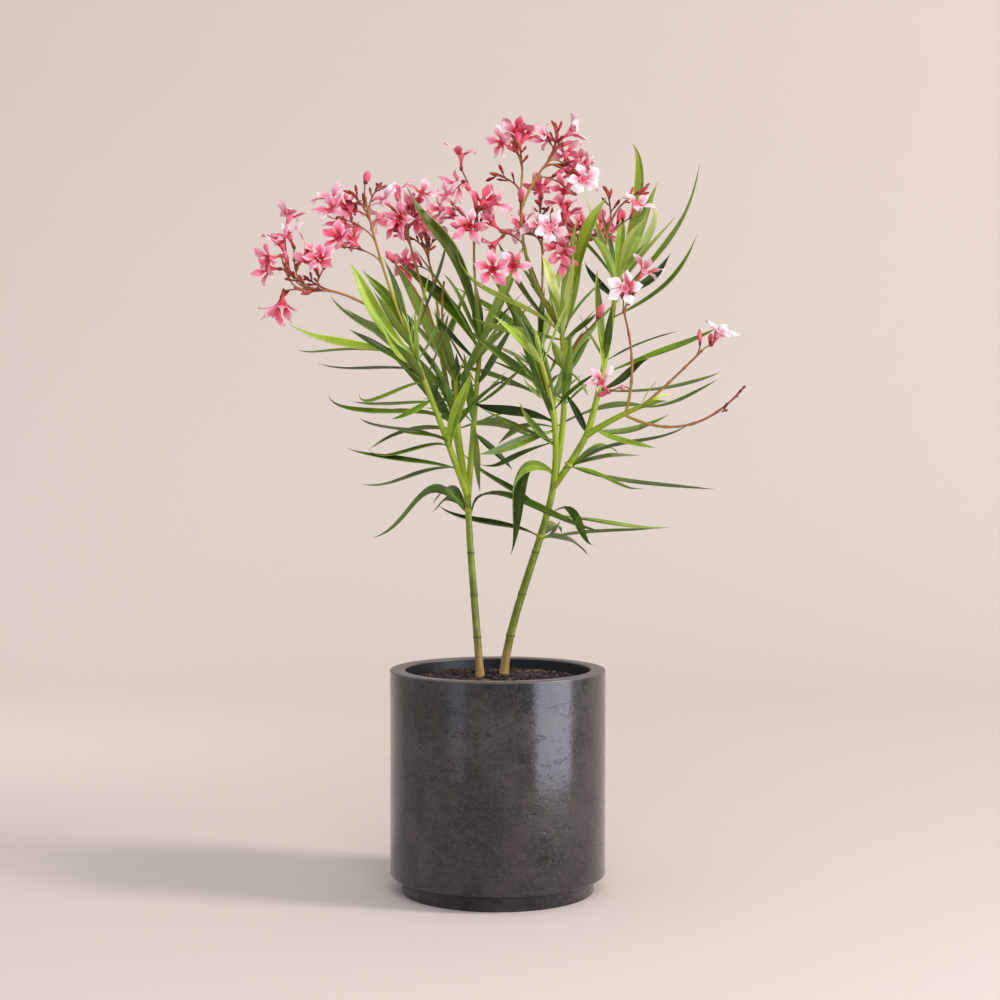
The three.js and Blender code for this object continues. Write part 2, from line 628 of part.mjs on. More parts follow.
/** A leaf that grows from a shoot by the rule: it leaves along `start` and then lifts or droops. */
function addLeafAlong(growth, root, axis, start, length, lift) {
  const end = start.clone().addScaledVector(UP, lift).normalize();
  const middle = root.clone().addScaledVector(start, length / 2);
  const tip = middle.clone().addScaledVector(end, length / 2);
  const rib = new THREE.QuadraticBezierCurve3(root, middle, tip);
  return growth.fuse((grow) => leafBlade(rib, axis, grow));
}

/** Whorls of three leaves up a shoot, each whorl turned to stand between those below. */
function addWhorls(growth, { whorls, bare, leaf, turn }, chance) {
  for (let tier = 0; tier < whorls; tier++) {
    const height = whorls > 1 ? tier / (whorls - 1) : 1;
    const share = mix([bare, LAST_WHORL], height);
    const root = growth.curve.getPoint(share);
    const axis = growth.curve.getTangent(share);
    for (let side = 0; side < WHORL_LEAVES; side++) {
      const place = turn + WHORL_TURN * tier + (360 / WHORL_LEAVES) * side;
      const heading = place + HEADING_SCATTER * (chance() - 0.5);
      const spread = mix(SPREADS, height) + SPREAD_SCATTER * (chance() - 0.5);
      const length = leaf * mix(LEAF_SIZES, chance());
      const lift = mix(LIFTS, height) + LIFT_SCATTER * (chance() - 0.5);
      LEAF_SWINGS.some((swing) => {
        return addLeafAlong(growth, root, axis, leaning(axis, spread, heading + swing), length, lift);
      });
    }
  }
}

/** The way of a flower's or bud's branch: it leaves along the stalk and bends to its end. */
function branchCurve(growth, share, end) {
  const start = growth.curve.getPoint(share);
  const lead = growth.curve.getTangent(share).multiplyScalar(BRANCH_LEAD * start.distanceTo(end));
  return new THREE.QuadraticBezierCurve3(start, start.clone().add(lead), end);
}

/** An open flower on its branch. Where no way is given it faces out and to the back. */
function addFlower(growth, share, mouth, way, chance) {
  const outward = mouth.clone().sub(growth.curve.getPoint(share)).normalize();
  outward.addScaledVector(BACK, mix(FACINGS, chance()));
  const facing = (way ? at(way) : outward).normalize();
  const foot = mouth.clone().addScaledVector(facing, -TUBE_LENGTH);
  const roll = chance() * Math.PI;
  const branch = branchCurve(growth, share, foot.clone().addScaledVector(facing, BRANCH_SUNK));
  growth.fuse((grow) => {
    return limb(branch, (along) => mix(PEDICEL_RADII, along), BRANCH_FACETS, grow)
      .add(flowerForm(foot, facing, roll, grow));
  });
}

/** A bud or a furled flower: its branch swells into it over the last of the way to its tip. */
function addBud(growth, share, tip, radius, facets) {
  const branch = branchCurve(growth, share, tip);
  growth.fuse((grow) => {
    const section = (along) => {
      const width = (along > BUD_START ? radius : PEDICEL_RADII[0]) + grow;
      return { width, thickness: width, lift: 0 };
    };
    const form = new THREE.CylinderGeometry(0, 1, 2, ...facets);
    return alongRib(form, branch, BACK, section, grow);
  });
}

/** Buds round the end of a truss's stalk. */
function addBuds(growth, count, chance) {
  for (let bud = 0; bud < count; bud++) {
    const share = mix(BUD_PLACES, chance());
    const heading = (360 * bud) / count + BUD_SCATTER * chance();
    const spread = mix(BUD_LEANS, chance());
    const direction = leaning(growth.curve.getTangent(share), spread, heading);
    const tip = growth.curve.getPoint(share).addScaledVector(direction, mix(BUD_REACH, chance()));
    addBud(growth, share, tip, BUD_RADIUS, BUD_FACETS);
  }
}

/** A lathed solid from a profile of radius and height. */
function turned(profile) {
  const points = profile.map(([radius, height]) => new THREE.Vector2(radius, height));
  const form = new THREE.LatheGeometry(points, POT_SIDES);
  form.rotateX(Math.PI / 2);
  return solidOf(form);
}

/** The pot: a thick straight wall on a foot that stands back under it. */
function makePot() {
  const inner = POT_RADIUS - POT_WALL;
  return turned([
    [0, 0],
    [FOOT_RADIUS - FOOT_EDGE, 0],
    [FOOT_RADIUS, FOOT_EDGE],
    [FOOT_RADIUS, FOOT_HEIGHT],
    [POT_RADIUS - POT_EDGE, FOOT_HEIGHT],
    [POT_RADIUS, FOOT_HEIGHT + POT_EDGE],
    [POT_RADIUS, POT_HEIGHT - RIM_EDGE],
    [POT_RADIUS - RIM_EDGE, POT_HEIGHT],
    [inner + RIM_EDGE, POT_HEIGHT],
    [inner, POT_HEIGHT - RIM_EDGE],
    [inner, POT_FLOOR],
    [0, POT_FLOOR],
  ]);
}

/** The soil that fills the pot, level round the stems and lower at the wall. */
function makeSoil() {
  const radius = POT_RADIUS - POT_WALL - GAP;
  return turned([
    [0, POT_FLOOR + GAP],
    [radius, POT_FLOOR + GAP],
    [radius, GROUND - SOIL_SLOPE],
    [SOIL_FLAT, GROUND],
    [0, GROUND],
  ]);
}

const pot = makePot();
const soil = makeSoil();
const still = [withBox(pot), withBox(soil)];

// The stems start under the ground and are cut flat just above it
const belowGround = new THREE.BoxGeometry(2 * POT_RADIUS, 2 * POT_RADIUS, GROUND);
belowGround.translate(0, 0, GAP + GROUND / 2);
for (const [name, { points, radii }] of Object.entries(STEMS)) {
  const curve = new THREE.CubicBezierCurve3(...points.map(at));
  const radiusAt = (share) => {
    const height = Math.max(curve.getPoint(share).z - GROUND, 0);
    return mix(radii, share) + FLARE * Math.exp(-height / FLARE_FADE);
  };
  new Growth(name, MATERIALS.bark, curve, radiusAt, STEM_FACETS, solidOf(belowGround));
}

/** The curve of a shoot or stalk that starts on another limb. */
function curveFrom({ from: [parent, share], via, tip }) {
  return curveThrough(growths[parent].curve.getPoint(share), at(via), at(tip));
}

for (const [name, shoot] of Object.entries({ ...BOUGHS, ...SHOOTS })) {
  const radii = name in BOUGHS ? BOUGH_RADII : SHOOT_RADII;
  const material = name in BOUGHS ? MATERIALS.bark : MATERIALS.leaf;
  new Growth(name, material, curveFrom(shoot), (share) => mix(radii, share), SHOOT_FACETS);
}

for (const [name, { on: [stem, share] }] of Object.entries(COLLARS)) {
  const { curve, radiusAt } = growths[stem];
  const axis = curve.getTangent(share).multiplyScalar(COLLAR_HEIGHT / 2);
  const middle = curve.getPoint(share);
  const ring = new THREE.LineCurve3(middle.clone().sub(axis), middle.clone().add(axis));
  const radius = radiusAt(share) + GAP + COLLAR_WALL;
  new Growth(name, MATERIALS.leaf, ring, () => radius, COLLAR_FACETS);
}

for (const [name, stalk] of Object.entries(TRUSSES)) {
  const radiusAt = (share) => mix(PEDUNCLE_RADII, share);
  new Growth(name, MATERIALS.flower, curveFrom(stalk), radiusAt, STALK_FACETS);
}

// What stands out alone goes on first, and the leaves that fill the crown keep clear of it
for (const [name, { leaves }] of Object.entries(COLLARS)) {
  const collar = growths[name];
  const axis = collar.curve.getTangent(0.5);
  const middle = collar.curve.getPoint(0.5);
  for (const [face, ...places] of leaves) {
    const [tip, near, far] = places.map(at);
    const outward = near.clone().sub(middle);
    outward.addScaledVector(axis, -outward.dot(axis)).normalize();
    const root = middle.clone().addScaledVector(outward, collar.radiusAt(0) - COLLAR_SUNK);
    addLeafTo(collar, root, face, tip, near, far);
  }
}
for (const [name, { shown = [] }] of Object.entries(SHOOTS)) {
  for (const [share, face, ...places] of shown) {
    addLeafTo(growths[name], growths[name].curve.getPoint(share), face, ...places.map(at));
  }
}
for (const [index, [name, { flowers = [], shut = [] }]] of Object.entries(TRUSSES).entries()) {
  const chance = series(SEED * (index + 1));
  for (const [share, mouth, way] of flowers) {
    addFlower(growths[name], share, at(mouth), way, chance);
  }
  for (const [share, tip] of shut) {
    addBud(growths[name], share, at(tip), SHUT_RADIUS, SHUT_FACETS);
  }
}
for (const [index, [name, shoot]] of Object.entries(SHOOTS).entries()) {
  addWhorls(growths[name], shoot, series(SEED * (index + LEAF_SERIES)));
}
for (const [index, [name, { buds }]] of Object.entries(TRUSSES).entries()) {
  addBuds(growths[name], buds, series(SEED * (index + BUD_SERIES)));
}

const oleander = new THREE.Group();
oleander.add(meshOf('pot', pot, MATERIALS.stone));
oleander.add(meshOf('soil', soil, MATERIALS.soil));
for (const growth of Object.values(growths)) {
  oleander.add(growth.mesh());
}

export default oleander;
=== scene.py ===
"""A potted oleander in flower: two green stems out of the soil of a dark cylindrical stone pot, leafy
shoots, and trusses of pink flowers. Metres, +Z up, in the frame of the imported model."""

import math

import bmesh
import bpy
import numpy as np
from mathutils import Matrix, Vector, noise
from mathutils.kdtree import KDTree


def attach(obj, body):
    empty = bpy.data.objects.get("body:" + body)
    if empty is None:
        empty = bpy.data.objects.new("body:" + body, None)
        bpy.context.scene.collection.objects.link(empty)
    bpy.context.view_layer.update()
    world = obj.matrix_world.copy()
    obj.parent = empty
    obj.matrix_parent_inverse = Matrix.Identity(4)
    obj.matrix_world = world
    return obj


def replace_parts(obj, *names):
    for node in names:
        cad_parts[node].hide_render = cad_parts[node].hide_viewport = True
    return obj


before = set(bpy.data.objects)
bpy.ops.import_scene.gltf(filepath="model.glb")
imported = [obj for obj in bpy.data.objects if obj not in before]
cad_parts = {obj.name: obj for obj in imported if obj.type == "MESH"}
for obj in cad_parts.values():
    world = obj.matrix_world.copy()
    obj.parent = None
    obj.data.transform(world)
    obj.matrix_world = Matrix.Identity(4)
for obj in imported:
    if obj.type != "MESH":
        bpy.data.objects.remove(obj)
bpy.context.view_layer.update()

# Camera
# It stands 2.2 m in front of the plant, level with its leaves, and looks slightly down.
CAMERA_LENS = 72.14  # mm, on a sensor 36 mm wide
CAMERA_PLACE = (0.0025, -2.2251, 0.5207)
CAMERA_PITCH = 0.038
camera = bpy.data.objects.new("camera", bpy.data.cameras.new("camera"))
camera.data.sensor_width = 36
camera.data.lens = CAMERA_LENS
camera.location = CAMERA_PLACE
camera.rotation_euler = (math.pi / 2 - CAMERA_PITCH, 0, 0)
bpy.context.collection.objects.link(camera)
bpy.context.scene.camera = camera
# True colours, as the photograph has them, with no film curve over them
bpy.context.scene.view_settings.view_transform = "Standard"


# Studio
# A seamless sweep of warm beige paper under and behind the plant, a soft light high on the right,
# weak fills from the front and on the wall, a card at each side that only the polished pot mirrors,
# and even light from all round.
def linear(colour):
    """An sRGB hex colour as linear red, green, blue and alpha."""
    parts = [((colour >> shift) & 255) / 255 for shift in (16, 8, 0)]
    return [part / 12.92 if part <= 0.04045 else ((part + 0.055) / 1.055) ** 2.4 for part in parts] + [1]


def add(material, kind, sockets=None, **settings):
    """Adds a node with its settings, and gives each socket a value or another node's output."""
    made = material.node_tree.nodes.new(kind)
    for name, value in settings.items():
        setattr(made, name, value)
    for name, value in (sockets or {}).items():
        if isinstance(value, bpy.types.NodeSocket):
            material.node_tree.links.new(value, made.inputs[name])
        else:
            made.inputs[name].default_value = value
    return made


def surface(name, colour, **values):
    """A material and its shader, with the same colour and values all over."""
    material = bpy.data.materials.new(name)
    material.use_nodes = True
    shader = material.node_tree.nodes["Principled BSDF"]
    shader.inputs["Base Color"].default_value = linear(colour)
    for socket, value in values.items():
        shader.inputs[socket.replace("_", " ")].default_value = value
    return material, shader


def piece_of(name, mesh, *materials):
    """An object for a mesh, with its materials."""
    made = bpy.data.objects.new(name, mesh)
    for material in materials:
        mesh.materials.append(material)
    bpy.context.collection.objects.link(made)
    return made


SWEEP_WIDTH = 9
SWEEP_FRONT = -2.6
SWEEP_BACK = 3
SWEEP_BEND = 1.4
SWEEP_TOP = 3.2
# Matt paper, so that it takes the plant's shadow softly and has no shine of its own
paper, _ = surface("seamless beige paper", 0xDBCFC7, Roughness=0.9, Specular_IOR_Level=0.2)
form = bmesh.new()
sides = [(SWEEP_FRONT, 0), (SWEEP_BACK - SWEEP_BEND, 0)]
sides += [
    (SWEEP_BACK - SWEEP_BEND * (1 - math.sin(turn)), SWEEP_BEND * (1 - math.cos(turn)))
    for turn in np.linspace(0, math.pi / 2, 13)[1:]
]
sides += [(SWEEP_BACK, SWEEP_TOP)]
line = [form.verts.new((-SWEEP_WIDTH / 2, y, z)) for y, z in sides]
edges = [form.edges.new(pair) for pair in zip(line, line[1:])]
made = bmesh.ops.extrude_edge_only(form, edges=edges)
moved = [item for item in made["geom"] if isinstance(item, bmesh.types.BMVert)]
bmesh.ops.translate(form, verts=moved, vec=(SWEEP_WIDTH, 0, 0))
bmesh.ops.recalc_face_normals(form, faces=form.faces)
for face in form.faces:
    face.smooth = True
sweep = bpy.data.meshes.new("sweep")
form.to_mesh(sweep)
form.free()
piece_of("sweep", sweep, paper)


def soft_light(name, place, aim, size, watts, colour=0xFFFFFF, mirrored=True, lights=True):
    """A rectangular light at a place, turned to what it lights. Polished things mirror it if
    `mirrored`, and it is only mirrored unless it `lights`."""
    lamp = bpy.data.lights.new(name, "AREA")
    lamp.shape = "RECTANGLE"
    lamp.size, lamp.size_y = size
    lamp.energy = watts
    lamp.color = linear(colour)[:3]
    made = bpy.data.objects.new(name, lamp)
    made.location = place
    made.visible_camera = False
    made.visible_glossy = mirrored
    made.visible_diffuse = lights
    made.rotation_euler = (Vector(aim) - Vector(place)).to_track_quat("-Z", "Y").to_euler()
    bpy.context.collection.objects.link(made)


soft_light("key", (4.9, -1.4, 3.2), (0, 0, 0.4), (1.2, 1.2), 222, 0xFFFBF5)
soft_light("wall fill", (-1.2, 0.9, 1), (-1.3, 2.9, -0.1), (1.6, 1.2), 5, mirrored=False)
soft_light("front fill", (0.3, -2.6, 2), (0, 0, 0.3), (1.6, 1.6), 35, mirrored=False)
soft_light("right card", (0.66, -0.42, 0.26), (0, 0, 0.14), (0.6, 0.86), 9, 0xE4E6FC, lights=False)
soft_light("left card", (-0.6, -0.7, 0.28), (0, 0, 0.14), (0.26, 0.86), 0.8, 0xC4D0F8, lights=False)
world = bpy.data.worlds.new("even light")
world.use_nodes = True
sky = world.node_tree.nodes["Background"].inputs
sky["Color"].default_value = linear(0xF8FAFF)
sky["Strength"].default_value = 0.6
bpy.context.scene.world = world


# Pot
# Cast stone, turned true and burnished to a dark, waxy charcoal, with clouds of lighter grey, fine
# open pores, and a flat rim that is left honed and painted paler on top as painted light. It stands on
# a foot set back under the wall.
MM = 0.001  # sizes are in mm from here on
POT_RADIUS = 120
POT_HEIGHT = 248
POT_WALL = 16.7
POT_FLOOR = 34
FOOT_RADIUS = 107.5
FOOT_HEIGHT = 18.5
# How far under the top the rim is honed and painted paler, as painted light on its top and edge
HONED_AND_PAINTED_LIGHT_BELOW_TOP = 1.7
# How far each edge is rounded, and its height and distance from the axis
ROUNDED = [
    (3, FOOT_HEIGHT, POT_RADIUS),
    (1.6, POT_HEIGHT, POT_RADIUS),
    (1.6, POT_HEIGHT, POT_RADIUS - POT_WALL),
    (1.5, 0, FOOT_RADIUS),
]
SAME = 1e-5  # m: corners this near a place are at it


def spun(profile, steps):
    """A bmesh turned round the z axis from radii and heights in mm."""
    form = bmesh.new()
    line = [form.verts.new((radius * MM, 0, height * MM)) for radius, height in profile]
    edges = [form.edges.new(pair) for pair in zip(line, line[1:])]
    bmesh.ops.spin(form, geom=line + edges, axis=(0, 0, 1), cent=(0, 0, 0), angle=2 * math.pi,
                   steps=steps, use_merge=True)
    bmesh.ops.remove_doubles(form, verts=form.verts, dist=1e-6)
    bmesh.ops.recalc_face_normals(form, faces=form.faces)
    return form


def finished(form, name, *materials):
    """The smooth-shaded object of a bmesh."""
    for face in form.faces:
        face.smooth = True
    mesh = bpy.data.meshes.new(name)
    form.to_mesh(mesh)
    form.free()
    return piece_of(name, mesh, *materials)


def noise_of(material, place, grain, detail, roughness=0.5, distortion=0):
    """A noise with blotches about `grain` mm across."""
    return add(material, "ShaderNodeTexNoise", {
        "Vector": place, "Scale": 1000 / grain, "Detail": detail, "Roughness": roughness,
        "Distortion": distortion,
    }).outputs["Fac"]


def drawn_out(material, place, upwards):
    """A place for patterns that are squeezed or drawn out upwards."""
    return add(material, "ShaderNodeMapping", {
        "Vector": place, "Scale": (1, 1, upwards),
    }).outputs["Vector"]


def ranged(material, value, low, high, to_low, to_high):
    """A value mapped from one range to another, and kept inside it."""
    return add(material, "ShaderNodeMapRange", {
        "Value": value, "From Min": low, "From Max": high, "To Min": to_low, "To Max": to_high,
    }).outputs["Result"]


def worked_out(material, operation, *values):
    """A sum on values and other nodes' outputs."""
    return add(material, "ShaderNodeMath", dict(enumerate(values)), operation=operation).outputs["Value"]


def blend(material, share, first, second):
    """Two colours mixed by a share. Each is an sRGB hex colour or another node's output."""
    first, second = [linear(end) if isinstance(end, int) else end for end in (first, second)]
    return add(material, "ShaderNodeMix", {
        "Factor": share, "A": first, "B": second,
    }, data_type="RGBA").outputs["Result"]


def relief_of(material, height, strength, depth):
    """A fine relief, `depth` mm deep."""
    return add(material, "ShaderNodeBump", {
        "Height": height, "Strength": strength, "Distance": depth * MM,
    }).outputs["Normal"]


def wire(material, shader, **sources):
    """Links other nodes' outputs to a shader's sockets."""
    for socket, source in sources.items():
        material.node_tree.links.new(source, shader.inputs[socket.replace("_", " ")])


form = spun(
    [
        (0, 0), (FOOT_RADIUS - 8, 0), (FOOT_RADIUS, 0), (FOOT_RADIUS, FOOT_HEIGHT),
        (POT_RADIUS, FOOT_HEIGHT), (POT_RADIUS, POT_HEIGHT), (POT_RADIUS - POT_WALL, POT_HEIGHT),
        (POT_RADIUS - POT_WALL, POT_FLOOR), (0, POT_FLOOR),
    ],
    144,
)
for rounding, height, radius in ROUNDED:
    ring = [
        edge for edge in form.edges
        if all(
            abs(vert.co.z - height * MM) < SAME
            and abs(math.hypot(vert.co.x, vert.co.y) - radius * MM) < SAME
            for vert in edge.verts
        )
    ]
    bmesh.ops.bevel(form, geom=ring, offset=rounding * MM, segments=4, profile=0.5,
                    affect="EDGES", material=-1)
# Burnishing and wax give it a soft sheen that is clear and sharp over a cloudy, speckled depth
pot_stone, shader = surface("burnished cast stone", 0x2F2C2B, Specular_IOR_Level=0.2,
                            Coat_Weight=0.7, Coat_Roughness=0.14)
place = add(pot_stone, "ShaderNodeTexCoord").outputs["Object"]
clouds = noise_of(pot_stone, place, 48, 6, 0.62, 0.4)
streaks = noise_of(pot_stone, drawn_out(pot_stone, place, 0.16), 26, 4)
speckle = noise_of(pot_stone, place, 5, 3, 0.7)
# Pores up to 2 mm across, gathered where a broad pattern lets them through
pores = add(pot_stone, "ShaderNodeTexVoronoi", {"Vector": place, "Scale": 1000 / 4.5, "Randomness": 1})
pore_size = ranged(pot_stone, noise_of(pot_stone, place, 30, 2), 0.5, 0.7, 0, 0.34)
pore = worked_out(pot_stone, "LESS_THAN", pores.outputs["Distance"], pore_size)
# Flat dents left by air against the mould, 4 to 12 mm wide, and darker inside
dents = noise_of(pot_stone, drawn_out(pot_stone, place, 2.2), 17, 5, 0.66)
dents = ranged(pot_stone, dents, 0.59, 0.63, 0, 0.9)
colour = blend(pot_stone, ranged(pot_stone, clouds, 0.4, 0.66, 0, 1), 0x14110F, 0x3A332F)
for share, tint in [
    (ranged(pot_stone, streaks, 0.42, 0.72, 0, 0.55), 0x302A27),
    (ranged(pot_stone, speckle, 0.45, 0.75, 0, 0.4), 0x55504D),
    (pore, 0x0B0A0A),
    (dents, 0x120E0C),
]:
    colour = blend(pot_stone, share, colour, tint)
height = worked_out(pot_stone, "SUBTRACT", speckle, worked_out(pot_stone, "ADD", pore, dents))
relief = relief_of(pot_stone, height, 0.25, 0.8)
gloss = ranged(pot_stone, clouds, 0.3, 0.7, 0.2, 0.42)
wire(pot_stone, shader, Base_Color=colour, Roughness=gloss, Normal=relief, Coat_Normal=relief)
# Honing leaves the rim's top duller than the wall, and it is painted paler there as painted light
rim_stone, shader = surface("honed cast stone with painted light", 0x5B5550, Roughness=0.4)
place = add(rim_stone, "ShaderNodeTexCoord").outputs["Object"]
tint = blend(rim_stone, noise_of(rim_stone, place, 9, 6, 0.7), 0x302C2A, 0x6A635E)
wire(rim_stone, shader, Base_Color=tint)
# Inside, the wall is painted nearly black as painted shade
inner_wall_painted_shade, _ = surface("cast stone in painted shade", 0x17171B, Roughness=0.4, Specular_IOR_Level=0.3)
# Faces inside the pot over its floor take the stone that is painted nearly black as painted shade
for face in form.faces:
    middle = face.calc_center_median()
    if middle.z > (POT_HEIGHT - HONED_AND_PAINTED_LIGHT_BELOW_TOP) * MM:
        face.material_index = 1
    elif middle.z > (POT_FLOOR - 1) * MM and math.hypot(middle.x, middle.y) < (POT_RADIUS - POT_WALL) * MM:
        face.material_index = 2
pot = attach(finished(form, "stone_pot", pot_stone, rim_stone, inner_wall_painted_shade), "root")
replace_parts(pot, "pot")


# Soil
# Damp potting compost, heaped a little towards the stems: a crumbly crust with loose crumbs of peat,
# slivers of bark and pale roots on it. It fills the pot to about 10 mm under the rim.
GROUND = 237
GAP = 0.3
SOIL_RADIUS = POT_RADIUS - POT_WALL - GAP
MOUND = (2.8, 5)  # mm: how high the middle stands over the ground, and how far the edge falls from it
SEED = 7919


def series(number):
    """A repeatable series of shares from 0 to 1, with a number of its own."""
    state = SEED * number
    while True:
        state = (state * 1664525 + 1013904223) % 4294967296
        yield state / 4294967296


def mix(pair, share):
    """The value at a share of the way from one value to another."""
    return pair[0] + (pair[1] - pair[0]) * share


def ground_at(x, y):
    """Height of the crust in mm: crumbs of three sizes on a low mound."""
    place = Vector((x, y, 0))
    crumbs = 2.4 * noise.noise(place / 9) + 1.6 * noise.noise(place / 3.4) + 0.9 * noise.noise(place / 1.7)
    fall = MOUND[1] * (math.hypot(x, y) / SOIL_RADIUS) ** 2
    return GROUND + MOUND[0] - fall + crumbs


crust = [(SOIL_RADIUS * share, GROUND) for share in np.linspace(0, 1, 60)]
form = spun(crust + [(SOIL_RADIUS, POT_FLOOR + GAP), (0, POT_FLOOR + GAP)], 220)
for vert in form.verts:
    if vert.co.z > (GROUND - 1) * MM:
        vert.co.z = ground_at(vert.co.x / MM, vert.co.y / MM) * MM
# Damp peat drinks the light, so the crust is nearly black between the crumbs
soil_mix, shader = surface("damp potting compost", 0x2B1E18, Roughness=0.95)
place = add(soil_mix, "ShaderNodeTexCoord").outputs["Object"]
grains = noise_of(soil_mix, place, 4, 5, 0.7)
tint = blend(soil_mix, ranged(soil_mix, grains, 0.35, 0.7, 0, 1), 0x160F0C, 0x46332A)
wire(soil_mix, shader, Base_Color=tint, Normal=relief_of(soil_mix, grains, 0.6, 1))
crust_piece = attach(finished(form, "soil_crust", soil_mix), "root")
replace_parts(crust_piece, "soil")


class Gathered:
    """Many small shapes in one mesh. Places are in mm, and a face's tone is the number of its material."""

    def __init__(self):
        self.places = []
        self.faces = []
        self.tones = []
        self.rims = []

    def take(self, places, faces, tones, rims=()):
        """Adds one shape. `rims` are its corners where it has a sharp rim."""
        start = len(self.places)
        self.places.extend(places)
        self.faces.extend([[start + corner for corner in face] for face in faces])
        self.tones.extend(tones)
        self.rims.extend(start + corner for corner in rims)

    def skin(self, rings, tone_at, rims=()):
        """A closed form over rings of places. `tone_at` gives a face's tone by ring and corner, and
        `rims` are the corners of each ring where the form has a sharp rim."""
        sides, last = len(rings[0]), len(rings) - 1
        faces = [
            [low + corner, low + after, low + sides + after, low + sides + corner]
            for low in range(0, last * sides, sides)
            for corner, after in zip(range(sides), [*range(1, sides), 0])
        ]
        tones = [tone_at(ring, corner) for ring in range(last) for corner in range(sides)]
        faces += [list(range(sides))[::-1], list(range(last * sides, (last + 1) * sides))]
        tones += [tone_at(0, 0), tone_at(last - 1, 0)]
        edge = [ring * sides + corner for ring in range(last + 1) for corner in rims]
        self.take([place for ring in rings for place in ring], faces, tones, edge)

    def piece(self, name, materials, nodes=()):
        """One joined piece, with sharp edges along the rims of its thin sheets."""
        mesh = bpy.data.meshes.new(name)
        mesh.from_pydata([[part * MM for part in place] for place in self.places], [], self.faces)
        mesh.polygons.foreach_set("material_index", self.tones)
        mesh.polygons.foreach_set("use_smooth", [True] * len(self.faces))
        pairs = np.zeros(len(mesh.edges) * 2, np.int32)
        mesh.edges.foreach_get("vertices", pairs)
        on_rim = np.zeros(len(self.places), bool)
        on_rim[self.rims] = True
        sharp = on_rim[pairs].reshape(-1, 2).all(axis=1)
        mesh.attributes.new("sharp_edge", "BOOLEAN", "EDGE").data.foreach_set("value", sharp)
        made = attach(piece_of(name, mesh, *materials), "root")
        if nodes:
            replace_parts(made, *nodes)
        return made


CRUMBS = 1500
CRUMB_KINDS = (0.5, 0.8, 0.95)  # the shares of the crumbs at which the next kind begins
crumb_form = bmesh.new()
bmesh.ops.create_icosphere(crumb_form, subdivisions=1, radius=1)
crumb_places = [vert.co.copy() for vert in crumb_form.verts]
crumb_faces = [[vert.index for vert in face.verts] for face in crumb_form.faces]
crumb_form.free()
crumbs = Gathered()
chance = series(1)
for _ in range(CRUMBS):
    reach = (SOIL_RADIUS - 4) * math.sqrt(next(chance))
    angle = 2 * math.pi * next(chance)
    x, y = reach * math.cos(angle), reach * math.sin(angle)
    size = 0.7 + 2.2 * next(chance) ** 2
    kind = next(chance)
    tone = sum(kind >= limit for limit in CRUMB_KINDS)
    stretch = (1, 1, 0.8) if tone < 2 else (3.2, 0.5, 0.4)
    turn = 2 * math.pi * next(chance)
    middle = Vector((x, y, ground_at(x, y) + 0.25 * size))
    places = []
    for corner in crumb_places:
        local = Vector([part * factor for part, factor in zip(corner * size, stretch)])
        local *= 1 + 0.35 * noise.noise(corner * 1.3 + middle)
        places.append((
            middle.x + local.x * math.cos(turn) - local.y * math.sin(turn),
            middle.y + local.x * math.sin(turn) + local.y * math.cos(turn),
            middle.z + local.z,
        ))
    crumbs.take(places, crumb_faces, [tone] * len(crumb_faces))
# Peat, bark and root are all dull, and only their browns tell them apart
crumb_tints = [
    surface("peat crumb", 0x1C1310, Roughness=0.95)[0],
    surface("brown peat crumb", 0x3A2A22, Roughness=0.95)[0],
    surface("bark sliver", 0x4A3628, Roughness=0.8)[0],
    surface("pale root fibre", 0x74604A, Roughness=0.8)[0],
]
crumbs.piece("soil_crumbs", crumb_tints)


# Stems and bough
# Young oleander wood: olive green bark, tan and corky over the lowest hand's breadth, with raised
# rings where leaves once stood and fine lengthwise ribs. Each stem is a little wider at the soil.
STEMS = {
    "stem_left": {
        "radii": (4.5, 3.4),
        "points": [[-19, -4, 228], [-23, -5, 300], [-31, -8, 370], [-33, -8, 440]],
    },
    "stem_right": {
        "radii": (4.9, 3.6),
        "points": [[6, 14, 228], [8, 12, 300], [56, 2, 400], [62, 0, 455]],
    },
}
BOUGHS = {
    "bough_right": {
        "from": ["stem_right", 0.97], "via": [82, -4, 480], "tip": [99, -10, 510],
        "radii": (3.7, 3.5),
    },
}
FLARE = 1.2
FLARE_FADE = 9
JOINT_STEP = 47
JOINT_SWELLING = 0.11
SCAR = (0.0004, 0.0015)  # m: how near a joint its dark scar is full, and where it ends
CORK_FADE = (0.302, 0.345)  # m over the floor: where the cork turns to green rind
LIME_FADE = (0.34, 0.5)  # m over the floor: where the rind turns from olive to lime


def along(curve, share):
    """The place on a Bezier curve, and its direction there."""
    points = [Vector(point) for point in curve]
    while len(points) > 2:
        points = [a.lerp(b, share) for a, b in zip(points, points[1:])]
    return points[0].lerp(points[1], share), (points[1] - points[0]).normalized()


def through(start, via, end):
    """The control points of a curve that passes a point half way."""
    start, via, end = Vector(start), Vector(via), Vector(end)
    return [start, 2 * via - (start + end) / 2, end]


def frames(curve, steps):
    """Places along a curve, with a direction and two sideways directions that don't twist."""
    made = []
    side = None
    for step in range(steps + 1):
        place, way = along(curve, step / steps)
        if side is None:
            side = way.cross(Vector((0, 1, 0)) if abs(way.y) < 0.8 else Vector((1, 0, 0)))
        side = (side - way * side.dot(way)).normalized()
        made.append((place, way, side, way.cross(side)))
    return made


limbs = {name: [Vector(point) for point in stem["points"]] for name, stem in STEMS.items()}


def grow(rules):
    """Adds the curves of limbs that each leave their parent at a share of its length."""
    for name, rule in rules.items():
        parent, share = rule["from"]
        limbs[name] = through(along(limbs[parent], share)[0], rule["via"], rule["tip"])


